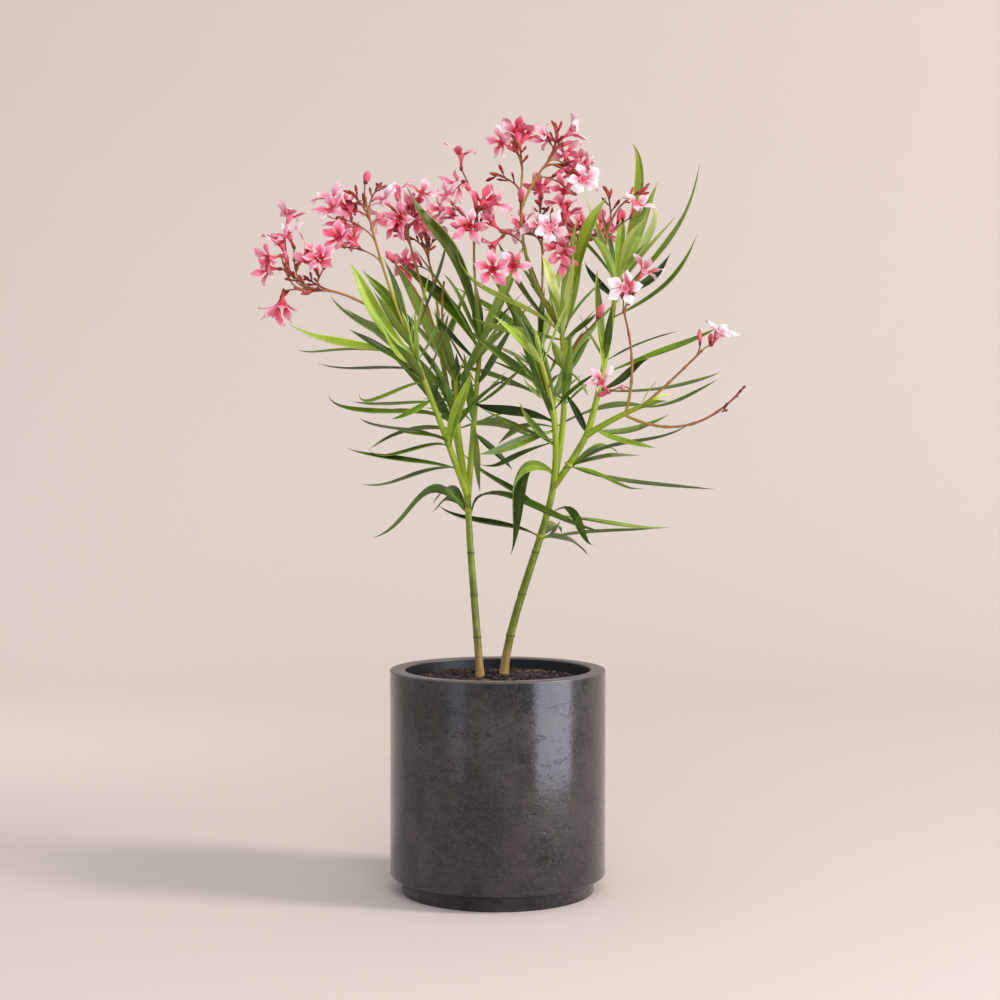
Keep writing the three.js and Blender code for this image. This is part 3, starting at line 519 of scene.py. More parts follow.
def bark_form(curve, radii, rings, sides, has_foot):
    """A limb with ribs and rings in its surface, from a circle extruded along its curve."""
    stations = frames(curve, rings)
    form = bmesh.new()
    loop = bmesh.ops.create_circle(form, cap_ends=True, segments=sides, radius=1)["verts"]
    form.faces.ensure_lookup_table()
    face = form.faces[0]
    for index, (place, way, side, over) in enumerate(stations):
        share = index / rings
        height = place.z - GROUND
        radius = mix(radii, share)
        if has_foot:
            radius += FLARE * math.exp(-max(height, 0) / FLARE_FADE)
        if index:
            made = bmesh.ops.extrude_face_region(form, geom=[face])
            old = face
            face = next(item for item in made["geom"] if isinstance(item, bmesh.types.BMFace))
            form.faces.remove(old)
            loop = list(face.verts)
        from_joint = (height + JOINT_STEP // 2) % JOINT_STEP - JOINT_STEP // 2
        joint = JOINT_SWELLING * math.exp(-from_joint ** 2 / 3.2) if height > 4 else 0
        for corner, vert in enumerate(loop):
            angle = 2 * math.pi * corner / sides
            spot = Vector((math.cos(angle) * 2.2, math.sin(angle) * 2.2, place.z / 14))
            ribs = 0.22 * noise.noise(spot * 1.3) + 0.16 * noise.noise(spot * 4)
            reach = radius * (1 + joint) + ribs
            vert.co = (place + side * (reach * math.cos(angle)) + over * (reach * math.sin(angle))) * MM
    bmesh.ops.recalc_face_normals(form, faces=form.faces)
    return form


# Smooth green rind with a waxy sheen, dull and fibrous where the cork has formed
bark, shader = surface("young oleander bark", 0x7A8420, Roughness=0.45, Specular_IOR_Level=0.3)
place = add(bark, "ShaderNodeTexCoord").outputs["Object"]
height = add(bark, "ShaderNodeSeparateXYZ", {"Vector": place}).outputs["Z"]
ribs = noise_of(bark, drawn_out(bark, place, 0.12), 2.2, 3, 0.6)
blotches = noise_of(bark, place, 16, 4)
# Tan cork from the soil up to about 60 mm over it, with a ragged edge
ragged = worked_out(bark, "MULTIPLY_ADD", blotches, 0.09, height)
cork = blend(bark, ribs, 0x6E4F26, 0xC2A55E)
rind = blend(bark, ranged(bark, height, *LIME_FADE, 0, 1), 0x667608, 0x93AC14)
mottled = blend(bark, ranged(bark, blotches, 0.42, 0.62, 0, 0.45), rind, 0x3C4410)
colour = blend(bark, ranged(bark, ragged, *CORK_FADE, 0, 1), cork, mottled)
# Fine pale ribs, and a dark scar round the stem at each joint
colour = blend(bark, ranged(bark, ribs, 0.5, 0.8, 0, 0.4), colour, 0xBFBE72)
from_soil = worked_out(bark, "SUBTRACT", height, GROUND * MM)
from_joint = worked_out(bark, "PINGPONG", from_soil, JOINT_STEP / 2 * MM)
colour = blend(bark, ranged(bark, from_joint, *SCAR, 0.65, 0), colour, 0x3A2C18)
wire(bark, shader, Base_Color=colour, Normal=relief_of(bark, ribs, 0.25, 0.4))
grow(BOUGHS)
for name, limb in [*STEMS.items(), *BOUGHS.items()]:
    is_stem = name in STEMS
    rings, sides = (120, 26) if is_stem else (40, 22)
    form = bark_form(limbs[name], limb["radii"], rings, sides, is_stem)
    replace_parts(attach(finished(form, name + "_bark", bark), "root"), name)


# Shoots and stalks
# This year's growth: smooth lime-green shoots that carry the leaves, and the flower stalks above
# them, which turn from yellow-green through tan to a dark wine red where the buds are.
SHOOT_RADII = (3.7, 2.6)
PEDUNCLE_RADII = (1.7, 1.1)
PEDICEL_RADII = (0.95, 0.8)
LAST_WHORL = 0.92
UP = Vector((0, 0, 1))
BACK = Vector((0, 1, 0))
RIGHT = Vector((1, 0, 0))

# Each shoot has the limb that it leaves and where, the place that it passes half way, its tip, and
# how many whorls of leaves it carries above its bare foot. Shorter leaves fill it from a share of its
# length up, in so many tiers. Each leaf that stands out alone has where it leaves the shoot, the tilt
# of its upper side, its tone from old to new, its tip, and two places on its rib.
SHOOTS = {
    "shoot_left_arch": {
        "from": ["stem_left", 1], "via": [-64, -29, 525], "tip": [-95, -45, 609],
        "whorls": 0, "filled": (0.74, 3),
        "shown": [
            [0.19, 11, 0.35, [-153, 30, 453], [-82, -1, 467], [-118, 15, 455]],
            [0.18, 14, 0.22, [-163, -70, 495], [-80, -34, 478], [-124, -52, 484]],
            [0.3, 13, 0.28, [-140, -60, 494], [-74, -34, 497], [-112, -47, 487]],
            [0.36, 11, 0.3, [-156, 40, 527], [-92, -3, 512], [-128, 19, 517]],
            [0.35, 23, 0.24, [-110, -75, 516], [-68, -40, 507], [-92, -58, 510]],
            [0.51, 16, 0.3, [-183, -60, 553], [-97, -39, 533], [-152, -50, 535]],
            [0.62, 18, 0.35, [-162, 10, 546], [-102, -19, 543], [-134, -4, 542]],
            [0.63, 70, 0.25, [-114, -80, 526], [-84, -49, 539], [-100, -65, 530]],
            [0.74, 27, 0.45, [-151, -40, 555], [-106, -38, 558], [-137, -39, 546]],
            [0.82, 7, 0.2, [-203, 30, 589], [-124, -17, 582], [-164, 7, 582]],
            [0.93, 30, 0.66, [-225, -70, 628], [-158, -52, 605], [-195, -61, 613]],
            [0.92, 9, 0.5, [-223, 0, 603], [-156, -29, 602], [-196, -14, 600]],
            [0.81, 41, 0.18, [-158, -90, 621], [-116, -56, 596], [-140, -73, 610]],
            [0.94, 14, 0.4, [-184, -20, 662], [-139, -36, 623], [-168, -28, 643]],
            [0.93, 9, 0.25, [-164, 40, 642], [-125, -16, 623], [-147, 13, 635]],
            [0.9, 90, 0.58, [-156, -90, 690], [-124, -58, 630], [-143, -74, 665]],
            [0.93, 64, 0.42, [-147, -40, 688], [-112, -42, 646], [-131, -41, 670]],
            [0.93, 44, 0.2, [-124, -50, 701], [-105, -45, 644], [-112, -48, 670]],
            [0.86, 90, 0.55, [-124, -100, 629], [-102, -60, 594], [-114, -81, 609]],
            [0.88, -23, 0.3, [-57, 20, 646], [-71, -21, 615], [-63, 0, 633]],
            [0.97, 8, 0.22, [-58, 60, 733], [-77, -10, 653], [-64, 26, 693]],
            [0.3, 90, 0.45, [-28, -75, 576], [-49, -39, 521], [-37, -57, 553]],
            [0.57, 56, 0.14, [-60, 40, 584], [-69, -8, 555], [-65, 16, 570]],
            [0.6, 48, 0.04, [-41, 70, 550], [-59, 1, 547], [-48, 36, 549]],
        ],
    },
    "shoot_left_slender": {
        "from": ["stem_left", 1], "via": [-44, 10, 512], "tip": [-47, 25, 570],
        "whorls": 2, "bare": 0.55, "leaf": 105, "turn": 75, "filled": (0.6, 3),
    },
    "shoot_left_inner": {
        "from": ["stem_left", 1], "via": [-27, 26, 520], "tip": [-19, 50, 621],
        "whorls": 1, "bare": 0.9, "leaf": 130, "turn": 70, "filled": (0.5, 3),
        "shown": [
            [0.97, 39, 0.2, [-100, -10, 782], [-47, 29, 702], [-75, 9, 741]],
            [0.92, 62, 0.3, [-115, 60, 707], [-54, 51, 653], [-84, 56, 681]],
            [0.85, 39, 0.12, [-72, -20, 644], [-41, 23, 607], [-56, 1, 623]],
            [0.97, 28, 0.45, [-60, -30, 685], [-36, 23, 646], [-47, -4, 668]],
            [0.95, 90, 0.1, [-32, 60, 661], [-24, 52, 629], [-27, 56, 648]],
            [0.45, -90, 0.12, [16, 40, 469], [-12, 29, 498], [5, 34, 482]],
            [0.53, 37, 0.25, [-19, -60, 447], [-25, -1, 492], [-23, -31, 467]],
            [0.62, 30, 0.35, [36, -40, 588], [0, 9, 557], [18, -16, 573]],
        ],
    },
    "shoot_left_back": {
        "from": ["stem_left", 0.97], "via": [-50, 50, 522], "tip": [-66, 92, 605],
        "whorls": 3, "bare": 0.45, "leaf": 135, "turn": 30, "filled": (0.6, 2),
    },
    "shoot_right_front": {
        "from": ["stem_right", 1], "via": [62, -32, 520], "tip": [46, -60, 589],
        "whorls": 0, "filled": (0.6, 3),
        "shown": [
            [0.54, 77, 0.28, [23, -80, 638], [51, -49, 574], [38, -65, 608]],
            [0.36, 23, 0.35, [-20, -90, 539], [36, -45, 511], [7, -68, 524]],
            [0.52, 72, 0.04, [-29, 10, 545], [27, -19, 533], [-3, -4, 537]],
            [0.31, 51, 0.35, [23, -100, 544], [43, -47, 513], [30, -74, 528]],
            [0.45, 90, 0.28, [-21, -70, 488], [29, -43, 503], [2, -56, 493]],
            [0.36, -37, 0.12, [-20, -10, 476], [21, -19, 485], [0, -14, 475]],
            [0.08, 90, 0.3, [16, -85, 447], [42, -32, 475], [25, -59, 469]],
            [0.07, 55, 0.22, [14, -95, 381], [31, -35, 468], [23, -65, 430]],
        ],
    },
    "shoot_right_leader": {
        "from": ["stem_right", 1], "via": [74, 20, 540], "tip": [71, 25, 631],
        "whorls": 1, "bare": 0.9, "leaf": 130, "turn": 50, "filled": (0.5, 3),
        "shown": [
            [0.95, 17, 0.62, [-45, -40, 711], [25, 4, 650], [-21, -18, 672]],
            [0.91, -35, 0.6, [-28, -70, 635], [31, -6, 620], [-1, -39, 625]],
            [0.97, 44, 0.52, [118, -45, 766], [91, 2, 706], [104, -22, 743]],
            [0.97, 40, 0.8, [81, -60, 704], [78, -3, 660], [82, -32, 683]],
            [0.96, 52, 0.85, [48, -50, 703], [63, 0, 658], [55, -25, 686]],
            [0.96, 32, 0.35, [25, 20, 731], [47, 23, 665], [33, 22, 701]],
            [0.95, 27, 0.2, [-1, 60, 729], [34, 37, 661], [12, 49, 699]],
            [0.7, -90, 0.62, [59, -60, 610], [71, -4, 589], [64, -32, 601]],
            [0.9, 90, 0.2, [111, 10, 645], [90, 20, 627], [102, 15, 636]],
            [0.68, -90, 0.35, [106, 30, 619], [87, 26, 591], [96, 28, 607]],
            [0.73, 28, 0.4, [99, -40, 551], [87, 3, 572], [94, -19, 560]],
            [0.54, 30, 0.3, [-40, -60, 629], [29, -6, 576], [-8, -33, 602]],
            [0.53, 47, 0.5, [27, -80, 573], [54, -13, 549], [38, -47, 556]],
            [0.59, 90, 0.06, [105, 60, 507], [88, 35, 536], [97, 47, 519]],
        ],
    },
    "shoot_right_upper": {
        "from": ["bough_right", 1], "via": [119, 4, 590], "tip": [133, 10, 686],
        "whorls": 1, "bare": 0.9, "leaf": 120, "turn": 20, "filled": (0.5, 2),
        "shown": [
            [0.97, 35, 0.5, [152, 45, 836], [152, 21, 739], [160, 33, 796]],
            [0.95, 90, 0.56, [139, 20, 753], [134, 13, 714], [137, 17, 736]],
            [0.96, 24, 0.7, [161, -40, 743], [140, -7, 712], [149, -24, 730]],
            [0.95, -35, 0.95, [172, 20, 771], [160, 13, 714], [175, 17, 744]],
            [0.88, 14, 0.36, [223, 0, 808], [180, 6, 709], [209, 3, 755]],
            [0.76, 17, 0.32, [217, -40, 727], [177, -8, 666], [202, -24, 693]],
            [0.88, 90, 0.1, [191, 0, 709], [163, 6, 677], [179, 3, 691]],
            [0.9, -90, 0.6, [100, -10, 729], [124, 3, 697], [113, -4, 716]],
            [0.93, 40, 0.25, [117, 40, 762], [126, 20, 711], [121, 30, 735]],
            [0.87, 72, 0.05, [99, 60, 704], [119, 26, 672], [107, 43, 687]],
            [0.42, 45, 0.4, [108, -50, 689], [113, -15, 618], [108, -33, 659]],
            [0.42, 21, 0.25, [243, 10, 627], [177, 5, 598], [216, 7, 613]],
            [0.31, 90, 0.16, [165, -40, 591], [137, -13, 571], [151, -27, 584]],
            [0.31, 8, 0.25, [251, 40, 579], [170, 13, 558], [216, 27, 566]],
        ],
    },
    "shoot_right_outer": {
        "from": ["bough_right", 0.96], "via": [124, -24, 524], "tip": [157, -36, 540],
        "whorls": 0,
        "shown": [
            [0.97, 15, 0.25, [245, -10, 571], [191, -27, 543], [219, -18, 555]],
            [0.94, 78, 0.4, [182, -80, 545], [162, -50, 541], [170, -65, 544]],
            [0.2, 44, 0.45, [169, -95, 495], [129, -42, 504], [150, -69, 498]],
            [0.2, -36, 0.4, [194, 40, 532], [141, 3, 512], [171, 22, 520]],
        ],
    },
    "shoot_right_back": {
        "from": ["stem_right", 0.97], "via": [64, 55, 530], "tip": [47, 105, 622],
        "whorls": 4, "bare": 0.42, "leaf": 140, "turn": 10, "filled": (0.6, 2),
    },
}

# Each truss has a stalk, which is as red at its foot and end as `stalk` says. Each flower has where
# its branch leaves the stalk, the place of its mouth, the way it faces, and its looks: how deep its
# colour is, how far it has opened, and how broad it is. Each shut one has the place of its tip.
TRUSSES = {
    "truss_far_left": {
        "from": ["shoot_left_arch", 1], "via": [-148, -70, 652], "tip": [-206, -90, 664], "buds": 3,
        "flowers": [
            [0.85, [-189, -100, 697], [-0.2, -0.8, 0.5], (0.62, 0.8)],
            [1, [-228, -90, 643], [0, -0.3, -1], (0.55, 0.4)],
            [1, [-246, -100, 694], [-0.8, -0.5, -0.25], (0.55, 0.85)],
            [0.93, [-224, -85, 725], [-0.3, -0.5, 0.75], (0.4, 0.8)],
            [0.93, [-222, -60, 748], [0.3, 0.2, 0.9], (0.3, 0.9)],
        ],
    },
    "truss_left_high": {
        "from": ["shoot_left_arch", 0.99], "via": [-124, -50, 690], "tip": [-143, -50, 765], "buds": 2,
        "flowers": [
            [0.5, [-172, -75, 722], [-0.3, -0.7, 0.5], (0.6, 0.85)],
            [0.65, [-181, -60, 754], [-0.5, -0.6, 0.5], (0.4, 0.85)],
            [0.8, [-184, -30, 771], [-0.3, -0.3, 0.9], (0.35, 0.9)],
            [0.9, [-165, -30, 760], [0.5, -0.5, 0.6], (0.38, 0.8)],
        ],
        "shut": [[1, [-140, -40, 795]]],
    },
    "truss_stalk_left": {
        "from": ["shoot_left_slender", 1], "via": [-61, 28, 627], "tip": [-60, 25, 680], "buds": 2,
    },
    "truss_slender": {
        "from": ["shoot_left_slender", 0.97], "via": [-76, 5, 640], "tip": [-104, -22, 686], "buds": 0,
        "shut": [[1, [-121, -45, 708]]],
    },
    "truss_centre_left": {
        "from": ["shoot_left_back", 1], "via": [-90, 50, 690], "tip": [-104, 5, 745], "buds": 2,
        "flowers": [
            [0.85, [-108, -40, 743], [-0.4, -0.8, -0.2], (0.5, 0.7)],
            [0.9, [-128, -20, 768], [-0.7, -0.4, 0.6], (0.2, 0.9)],
            [1, [-112, 10, 784], [-0.2, -0.3, 0.9], (0.35, 0.85)],
            [1, [-84, 20, 781], [0.3, -0.6, 0.7], (0.38, 0.8)],
        ],
    },
    "truss_centre": {
        "from": ["shoot_left_inner", 1], "via": [-26, 35, 690], "tip": [-25, 12, 745], "buds": 2,
        "flowers": [
            [0.7, [-30, -30, 735], [0.2, -0.6, -0.3], (0.5, 0.85)],
            [0.8, [-60, 0, 775], [-0.5, -0.6, 0.5], (0.22, 0.9)],
            [0.9, [-15, 0, 767], [0.2, 0.7, 0.4], (0.6, 0.8)],
            [1, [-41, 30, 826], [0, -0.2, 1], (0.4, 0.7)],
        ],
        "shut": [[0.75, [-52, -22, 740]]],
    },
    "truss_top": {
        "from": ["shoot_right_leader", 1], "via": [33, 18, 705], "tip": [27, 10, 795], "buds": 3,
        "stalk": (0.2, 0.42),
        "flowers": [
            [0.35, [-6, -70, 687], [-0.1, -1, 0.1], (0.5, 1, 1.1)],
            [0.55, [-10, -10, 745], [-0.7, -0.3, 0.6], (0.6, 0.4)],
            [1, [1, -10, 828], [-0.6, -0.6, -0.2], (0.4, 0.85)],
            [1, [24, 20, 851], [0.3, 0.2, 0.9], (0.6, 0.6)],
        ],
        "shut": [[0.75, [26, -24, 778]]],
    },
    "truss_top_right": {
        "from": ["truss_top", 0.8], "via": [40, 22, 790], "tip": [58, 25, 815], "buds": 3,
        "flowers": [
            [0.5, [70, 20, 780], [-0.8, -0.5, 0.1], (0.62, 0.8)],
            [0.8, [95, 0, 792], [0.1, -1, 0.2], (0.12, 1, 1.2)],
            [0.9, [98, 60, 818], [0.6, 0.3, 0.6], (0.35, 0.8)],
            [1, [86, 38, 850], [0.8, -0.2, 0.5], (0.3, 0.6)],
        ],
    },
    "truss_upper_right": {
        "from": ["shoot_right_leader", 0.99], "via": [80, 19, 680], "tip": [77, 8, 722], "buds": 2,
        "flowers": [
            [0.6, [68, -28, 708], [0, -0.8, -0.5], (0.68, 0.8)],
            [0.9, [57, -34, 735], [-0.1, -1, 0.1], (0.06, 1, 1.2)],
            [1, [79, -5, 757], [0.3, 0.2, 0.9], (0.5, 0.5)],
        ],
    },
    "truss_right": {
        "from": ["shoot_right_upper", 1], "via": [119, -12, 713], "tip": [128, -18, 750], "buds": 2,
        "flowers": [[0.5, [152, -30, 763], [0.3, -0.5, 0.8], (0.28, 0.85, 1.1)]],
    },
    "truss_right_low": {
        "from": ["shoot_right_leader", 0.73], "via": [87, 4, 609], "tip": [101, -19, 625], "buds": 0,
        "stalk": (0.35, 0.6),
        "shut": [[1, [114, -48, 651]]],
    },
    "truss_right_rear": {
        "from": ["shoot_right_upper", 0.97], "via": [126, 60, 710], "tip": [112, 95, 735], "buds": 2,
        "flowers": [
            [0.8, [122, 114, 752], [0.3, 0.8, 0.5], (0.45, 0.8)],
            [1, [92, 118, 752], [-0.4, 0.8, 0.5], (0.4, 0.85)],
        ],
    },
    "truss_right_front": {
        "from": ["shoot_right_outer", 0.75], "via": [146, -42, 585], "tip": [136, -45, 645], "buds": 1,
        "stalk": (0.3, 0.7),
        "flowers": [
            [0.95, [138, -48, 668], [-0.1, -1, 0.1], (0.02, 1, 1.15)],
            [0.9, [163, -36, 690], [0.6, 0.3, 0.75], (0.25, 0.5)],
            [0.2, [109, -80, 567], [-0.5, -0.6, 0.6], (0.3, 0.5)],
        ],
    },
    "truss_outer": {
        "from": ["shoot_right_outer", 1], "via": [182, -50, 562], "tip": [221, -57, 600], "buds": 0,
        "stalk": (0.25, 0.65),
        "flowers": [[1, [242, -60, 621], [0.5, -0.4, 0.7], (0.15, 0.75)]],
        "shut": [[0.9, [218, -52, 624]]],
    },
    "truss_outer_low": {
        "from": ["shoot_right_outer", 0.72], "via": [205, -42, 519], "tip": [265, -40, 557], "buds": 0,
        "stalk": (0.3, 0.8),
    },
    "truss_back_left": {
        "from": ["shoot_left_back", 0.99], "via": [-72, 112, 670], "tip": [-84, 128, 722], "buds": 3,
        "flowers": [
            [0.7, [-110, 138, 712], None, (0.5, 0.9)],
            [0.93, [-102, 120, 764], None, (0.6, 0.7)],
            [1, [-75, 150, 755], None, (0.4, 0.8)],
        ],
    },
    "truss_back_right": {
        "from": ["shoot_right_back", 1], "via": [52, 118, 690], "tip": [50, 122, 752], "buds": 3,
        "flowers": [
            [0.7, [80, 138, 742], None, (0.5, 0.9)],
            [0.8, [22, 142, 752], None, (0.35, 0.8)],
            [1, [52, 128, 800], None, (0.6, 0.6)],
        ],
    },
}


def ramp(name, stops, count, **values):
    """A row of plain materials whose colours run from stop to stop."""
    made = []
    for index in range(count):
        spot = index / (count - 1) * (len(stops) - 1)
        lower = min(int(spot), len(stops) - 2)
        parts = [
            round(mix(((stops[lower] >> shift) & 255, (stops[lower + 1] >> shift) & 255), spot - lower))
            for shift in (16, 8, 0)
        ]
        colour = (parts[0] << 16) + (parts[1] << 8) + parts[2]
        made.append(surface(f"{name} {index + 1}", colour, **values)[0])
    return made


def round_section(place, side, over, radius, sides):
    """The corners of a round section, from one sideways direction towards the other."""
    turns = [2 * math.pi * corner / sides for corner in range(sides)]
    return [place + side * (radius * math.cos(turn)) + over * (radius * math.sin(turn)) for turn in turns]


# Stalks are smooth and faintly waxy, lime where they are young and wine red near the buds
TWIG_TONES = 12
twig_tints = ramp("oleander stalk", [0x98AE26, 0xA69440, 0x9E6E40, 0x8A4430, 0x581E16], TWIG_TONES,
                  Roughness=0.45, Specular_IOR_Level=0.3)
twigs = Gathered()


def tone_of(share, tones):
    """The number of the tone at a share of a row of tones."""
    return max(0, min(tones - 1, int(share * tones)))


def stalk(curve, radii, reds, sides, steps, swelling=None):
    """A round stalk along a curve, with its radii and how red it is at its foot and its end."""
    rings = []
    for index, (place, way, side, over) in enumerate(frames(curve, steps)):
        share = index / steps
        radius = mix(radii, share) + (swelling(share) if swelling else 0)
        rings.append(round_section(place, side, over, radius, sides))
    twigs.skin(rings, lambda ring, corner: tone_of(mix(reds, (ring + 0.5) / steps), TWIG_TONES))


grow(SHOOTS)
for name, shoot in SHOOTS.items():
    tiers = shoot["whorls"]
    nodes = [mix((shoot.get("bare", 1), LAST_WHORL), tier / max(tiers - 1, 1)) for tier in range(tiers)]
    # A shoot thickens a little under each whorl
    stalk(limbs[name], SHOOT_RADII, (0, 0.12), 10, 36,
          lambda share: sum(0.6 * math.exp(-((share - node) / 0.02) ** 2) for node in nodes))
grow(TRUSSES)
for name, truss in TRUSSES.items():
    stalk(limbs[name], PEDUNCLE_RADII, truss.get("stalk", (0.15, 0.6)), 8, 44,
          lambda share: 0.5 * math.sin(4.5 * math.pi * share) ** 24)


# Leaves
# Leathery lance-shaped blades in whorls of three, 100 to 190 mm long: folded along a pale rib that
# stands out below, with a lens-shaped section, a short flat stalk and a fine point. Old leaves are
# deep green, the newest lime, and the undersides greyer. Each grows by the rule of the shoots.
COLLAR_WALL = 2.6
COLLAR_SUNK = 1.6
COLLAR_HALF = 2.6
LEAF_WIDTH = 0.057
LEAF_THICKNESS = 0.008
LEAF_THINNING = 0.35
LEAF_SHIFTS = (0, -8, 8, -16, 16, -24, 24)
ROOT_SHIFT = 0.11
LEAF_BOW = 0.09
# Degrees from the shoot, and how far the ends lift, from its lowest whorl to its highest
SPREADS = (54, 30)
LIFTS = (-0.62, -0.1)
LEAF_SWINGS = (0, 14, -14, 28, -28, 42, -42)
LEAF_SIZES = (0.85, 1.15)
HEADING_SCATTER = 24
SPREAD_SCATTER = 16
LIFT_SCATTER = 0.4
# The blade's mesh: rings along it, and how far out each of its lines lies from edge to edge
LEAF_RINGS = 16
LEAF_LINES = (-1, -0.84, -0.45, -0.08, 0.08, 0.45, 0.84, 1)
LEAF_FOLD = 0.27
LEAF_LEAN = (-12, 12)
LEAF_TWIST = (-40, 40)
LEAF_RIPPLE = (0.03, 0.09)
LEAF_TONE_SCATTER = (-0.05, 0.05)
STALK_HALF_WIDTH = 1.5
POINT_HALF_WIDTH = 0.12
BLADE_THICKNESS = 0.35
RIB_DEPTH = 0.55
NEW_LEAF = 0.65  # a tone over this is a new leaf, which is broader
NEW_LEAF_BREADTH = 1.25
LONE_LEAF_LOOSENESS = 0.4
# Shorter leaves between the whorls, how high up the last of them stand, and where the shoot ends
FILL_LENGTHS = (56, 98)
FILL_SPREADS = (52, 26)
FILL_LIFTS = (-0.5, 0.15)
FILL_END = 0.96
SHOOT_END = 0.97
# Leathery and waxy: a broad, soft shine over deep green, paler where the light comes through
LEAF_TONES = 16
leaf_tints = ramp("oleander leaf", [0x1C2C03, 0x42580A, 0x74901A, 0xA6C03A, 0xD0DE78, 0xEAF0B8],
                  LEAF_TONES, Roughness=0.38, Specular_IOR_Level=0.35)
UNDER_TONES = 6
under_tints = ramp("oleander leaf underside", [0x455A1C, 0x6C882C, 0x9CB448, 0xC8D680], UNDER_TONES,
                   Roughness=0.55, Specular_IOR_Level=0.3)
leaves = Gathered()
TOP_STRIPS = len(LEAF_LINES) - 1
RIB_STRIP = TOP_STRIPS // 2

# Whorls low on the stems and the bough, on a collar round each. A leaf has the tilt of its upper
# side, its tone, its tip, and two places on its rib.
COLLARS = {
    "whorl_left": {
        "on": ["stem_left", 0.93],
        "leaves": [
            [-37, 0.12, [-134, -70, 398], [-72, -28, 448], [-98, -50, 424]],
            [11, 0.08, [114, -70, 405], [2, -28, 443], [59, -50, 422]],
            [49, 0.25, [-75, 70, 420], [-54, 18, 437], [-66, 44, 429]],
            [60, 0.25, [-75, 85, 428], [-50, 20, 446], [-64, 52, 442]],
        ],
    },
    "whorl_low": {
        "on": ["stem_right", 0.7],
        "leaves": [
            [23, 0.16, [-67, 30, 429], [8, 12, 407], [-33, 21, 414]],
            [13, 0.2, [173, -30, 406], [97, -8, 400], [137, -19, 403]],
            [-49, 0.4, [68, -60, 416], [59, -17, 398], [64, -39, 407]],
            [32, 0.2, [106, 120, 366], [74, 42, 391], [92, 82, 381]],
            [60, 0.25, [75, 118, 392], [60, 44, 404], [68, 80, 404]],
        ],
    },
    "whorl_high": {
        "on": ["stem_right", 0.82],
        "leaves": [
            [25, 0.3, [-41, 45, 489], [20, 16, 444], [-12, 31, 463]],
            [12, 0.38, [196, 50, 403], [111, 18, 411], [154, 34, 404]],
            [66, 0.15, [103, -70, 390], [80, -22, 425], [91, -46, 404]],
        ],
    },
    "whorl_fork": {
        "on": ["bough_right", 0.42],
        "leaves": [
            [10, 0.1, [218, 20, 522], [125, 4, 495], [170, 12, 503]],
            [21, 0.33, [158, -60, 452], [110, -22, 465], [136, -41, 453]],
            [11, 0.22, [245, 30, 447], [133, 8, 458], [188, 19, 451]],
            [30, 0.25, [166, 110, 484], [115, 34, 482], [140, 73, 484]],
            [60, 0.25, [140, 110, 486], [108, 30, 490], [126, 70, 494]],
        ],
    },
}


def sheet_section(lines):
    """The corners round a thin sheet: each one's line, and 1 on top, -1 below or 0 at a rim."""
    top = [(line, 1) for line in lines[1:-1]]
    below = [(line, -1) for line in lines[-2:0:-1]]
    return [(lines[0], 0), *top, (lines[-1], 0), *below]


def length_of(rib):
    """The length of a curve, by eight straight steps."""
    return sum((along(rib, (step + 1) / 8)[0] - along(rib, step / 8)[0]).length for step in range(8))


def upright(rib, upper):
    """The way of a rib half way, and its upper side there."""
    way = along(rib, 0.5)[1]
    return way, (upper - way * upper.dot(way)).normalized()


def blade(rib, upper, tone, chance, broad=1, loose=1):
    """One leaf on its rib. `tone` runs from 0, old and deep, to 1, new and pale."""
    length = length_of(rib)
    half_way, top = upright(rib, upper)
    lean = loose * math.radians(mix(LEAF_LEAN, next(chance)))
    twist = loose * math.radians(mix(LEAF_TWIST, next(chance)))
    ripple = mix(LEAF_RIPPLE, next(chance))
    phase = 2 * math.pi * next(chance)
    tone += mix(LEAF_TONE_SCATTER, next(chance))
    rings = []
    for ring in range(LEAF_RINGS + 1):
        share = ring / LEAF_RINGS
        place, way = along(rib, share)
        over = half_way.rotation_difference(way) @ top
        side = way.cross(over)
        turn = lean + twist * (share - 0.4)
        over, side = (
            over * math.cos(turn) + side * math.sin(turn),
            side * math.cos(turn) - over * math.sin(turn),
        )
        full = math.sin(math.pi * share ** 0.85) ** 1.05 if 0 < share < 1 else 0
        least = STALK_HALF_WIDTH * (1 - share) ** 2 + POINT_HALF_WIDTH
        width = max(broad * length * LEAF_WIDTH * full, least)
        thin = min(1, width / 3)
        rings.append([])
        for line, level in sheet_section(LEAF_LINES):
            lift = LEAF_FOLD * width * abs(line) ** 1.3
            lift += ripple * width * math.sin(9 * share + phase + (2 if line > 0 else 0)) * line * line
            lift += thin * BLADE_THICKNESS * level
            if abs(line) < 0.2:
                lift -= thin * RIB_DEPTH * (0.45 if level > 0 else 1) * (1 - 0.6 * share)
            rings[-1].append(place + side * (line * width) + over * lift)

    def tone_at(ring, strip):
        """Pale at the foot and along the rib, with a painted highlight on some leaves' rims, and a little
        mottled.
        """
        share = (ring + 0.5) / LEAF_RINGS
        here = tone + 0.1 * max(0, 1 - share * 5) - 0.04 * share + 0.05 * math.sin(7 * share + phase)
        here += 0.06 if strip < RIB_STRIP else -0.03
        if strip >= TOP_STRIPS:
            here += 0.15 if strip == TOP_STRIPS + RIB_STRIP else 0
            return LEAF_TONES + tone_of(here, UNDER_TONES)
        here += 0.13 if strip == RIB_STRIP else 0
        # Painted highlight: some leaves' rims are paler, as where light catches their edges
        here += 0.3 * max(0, math.sin(3 * phase)) if strip == 0 else 0
        here += 0.3 * max(0, math.sin(5 * phase + 2)) if strip == TOP_STRIPS - 1 else 0
        return tone_of(here, LEAF_TONES)

    leaves.skin(rings, tone_at, (0, TOP_STRIPS))


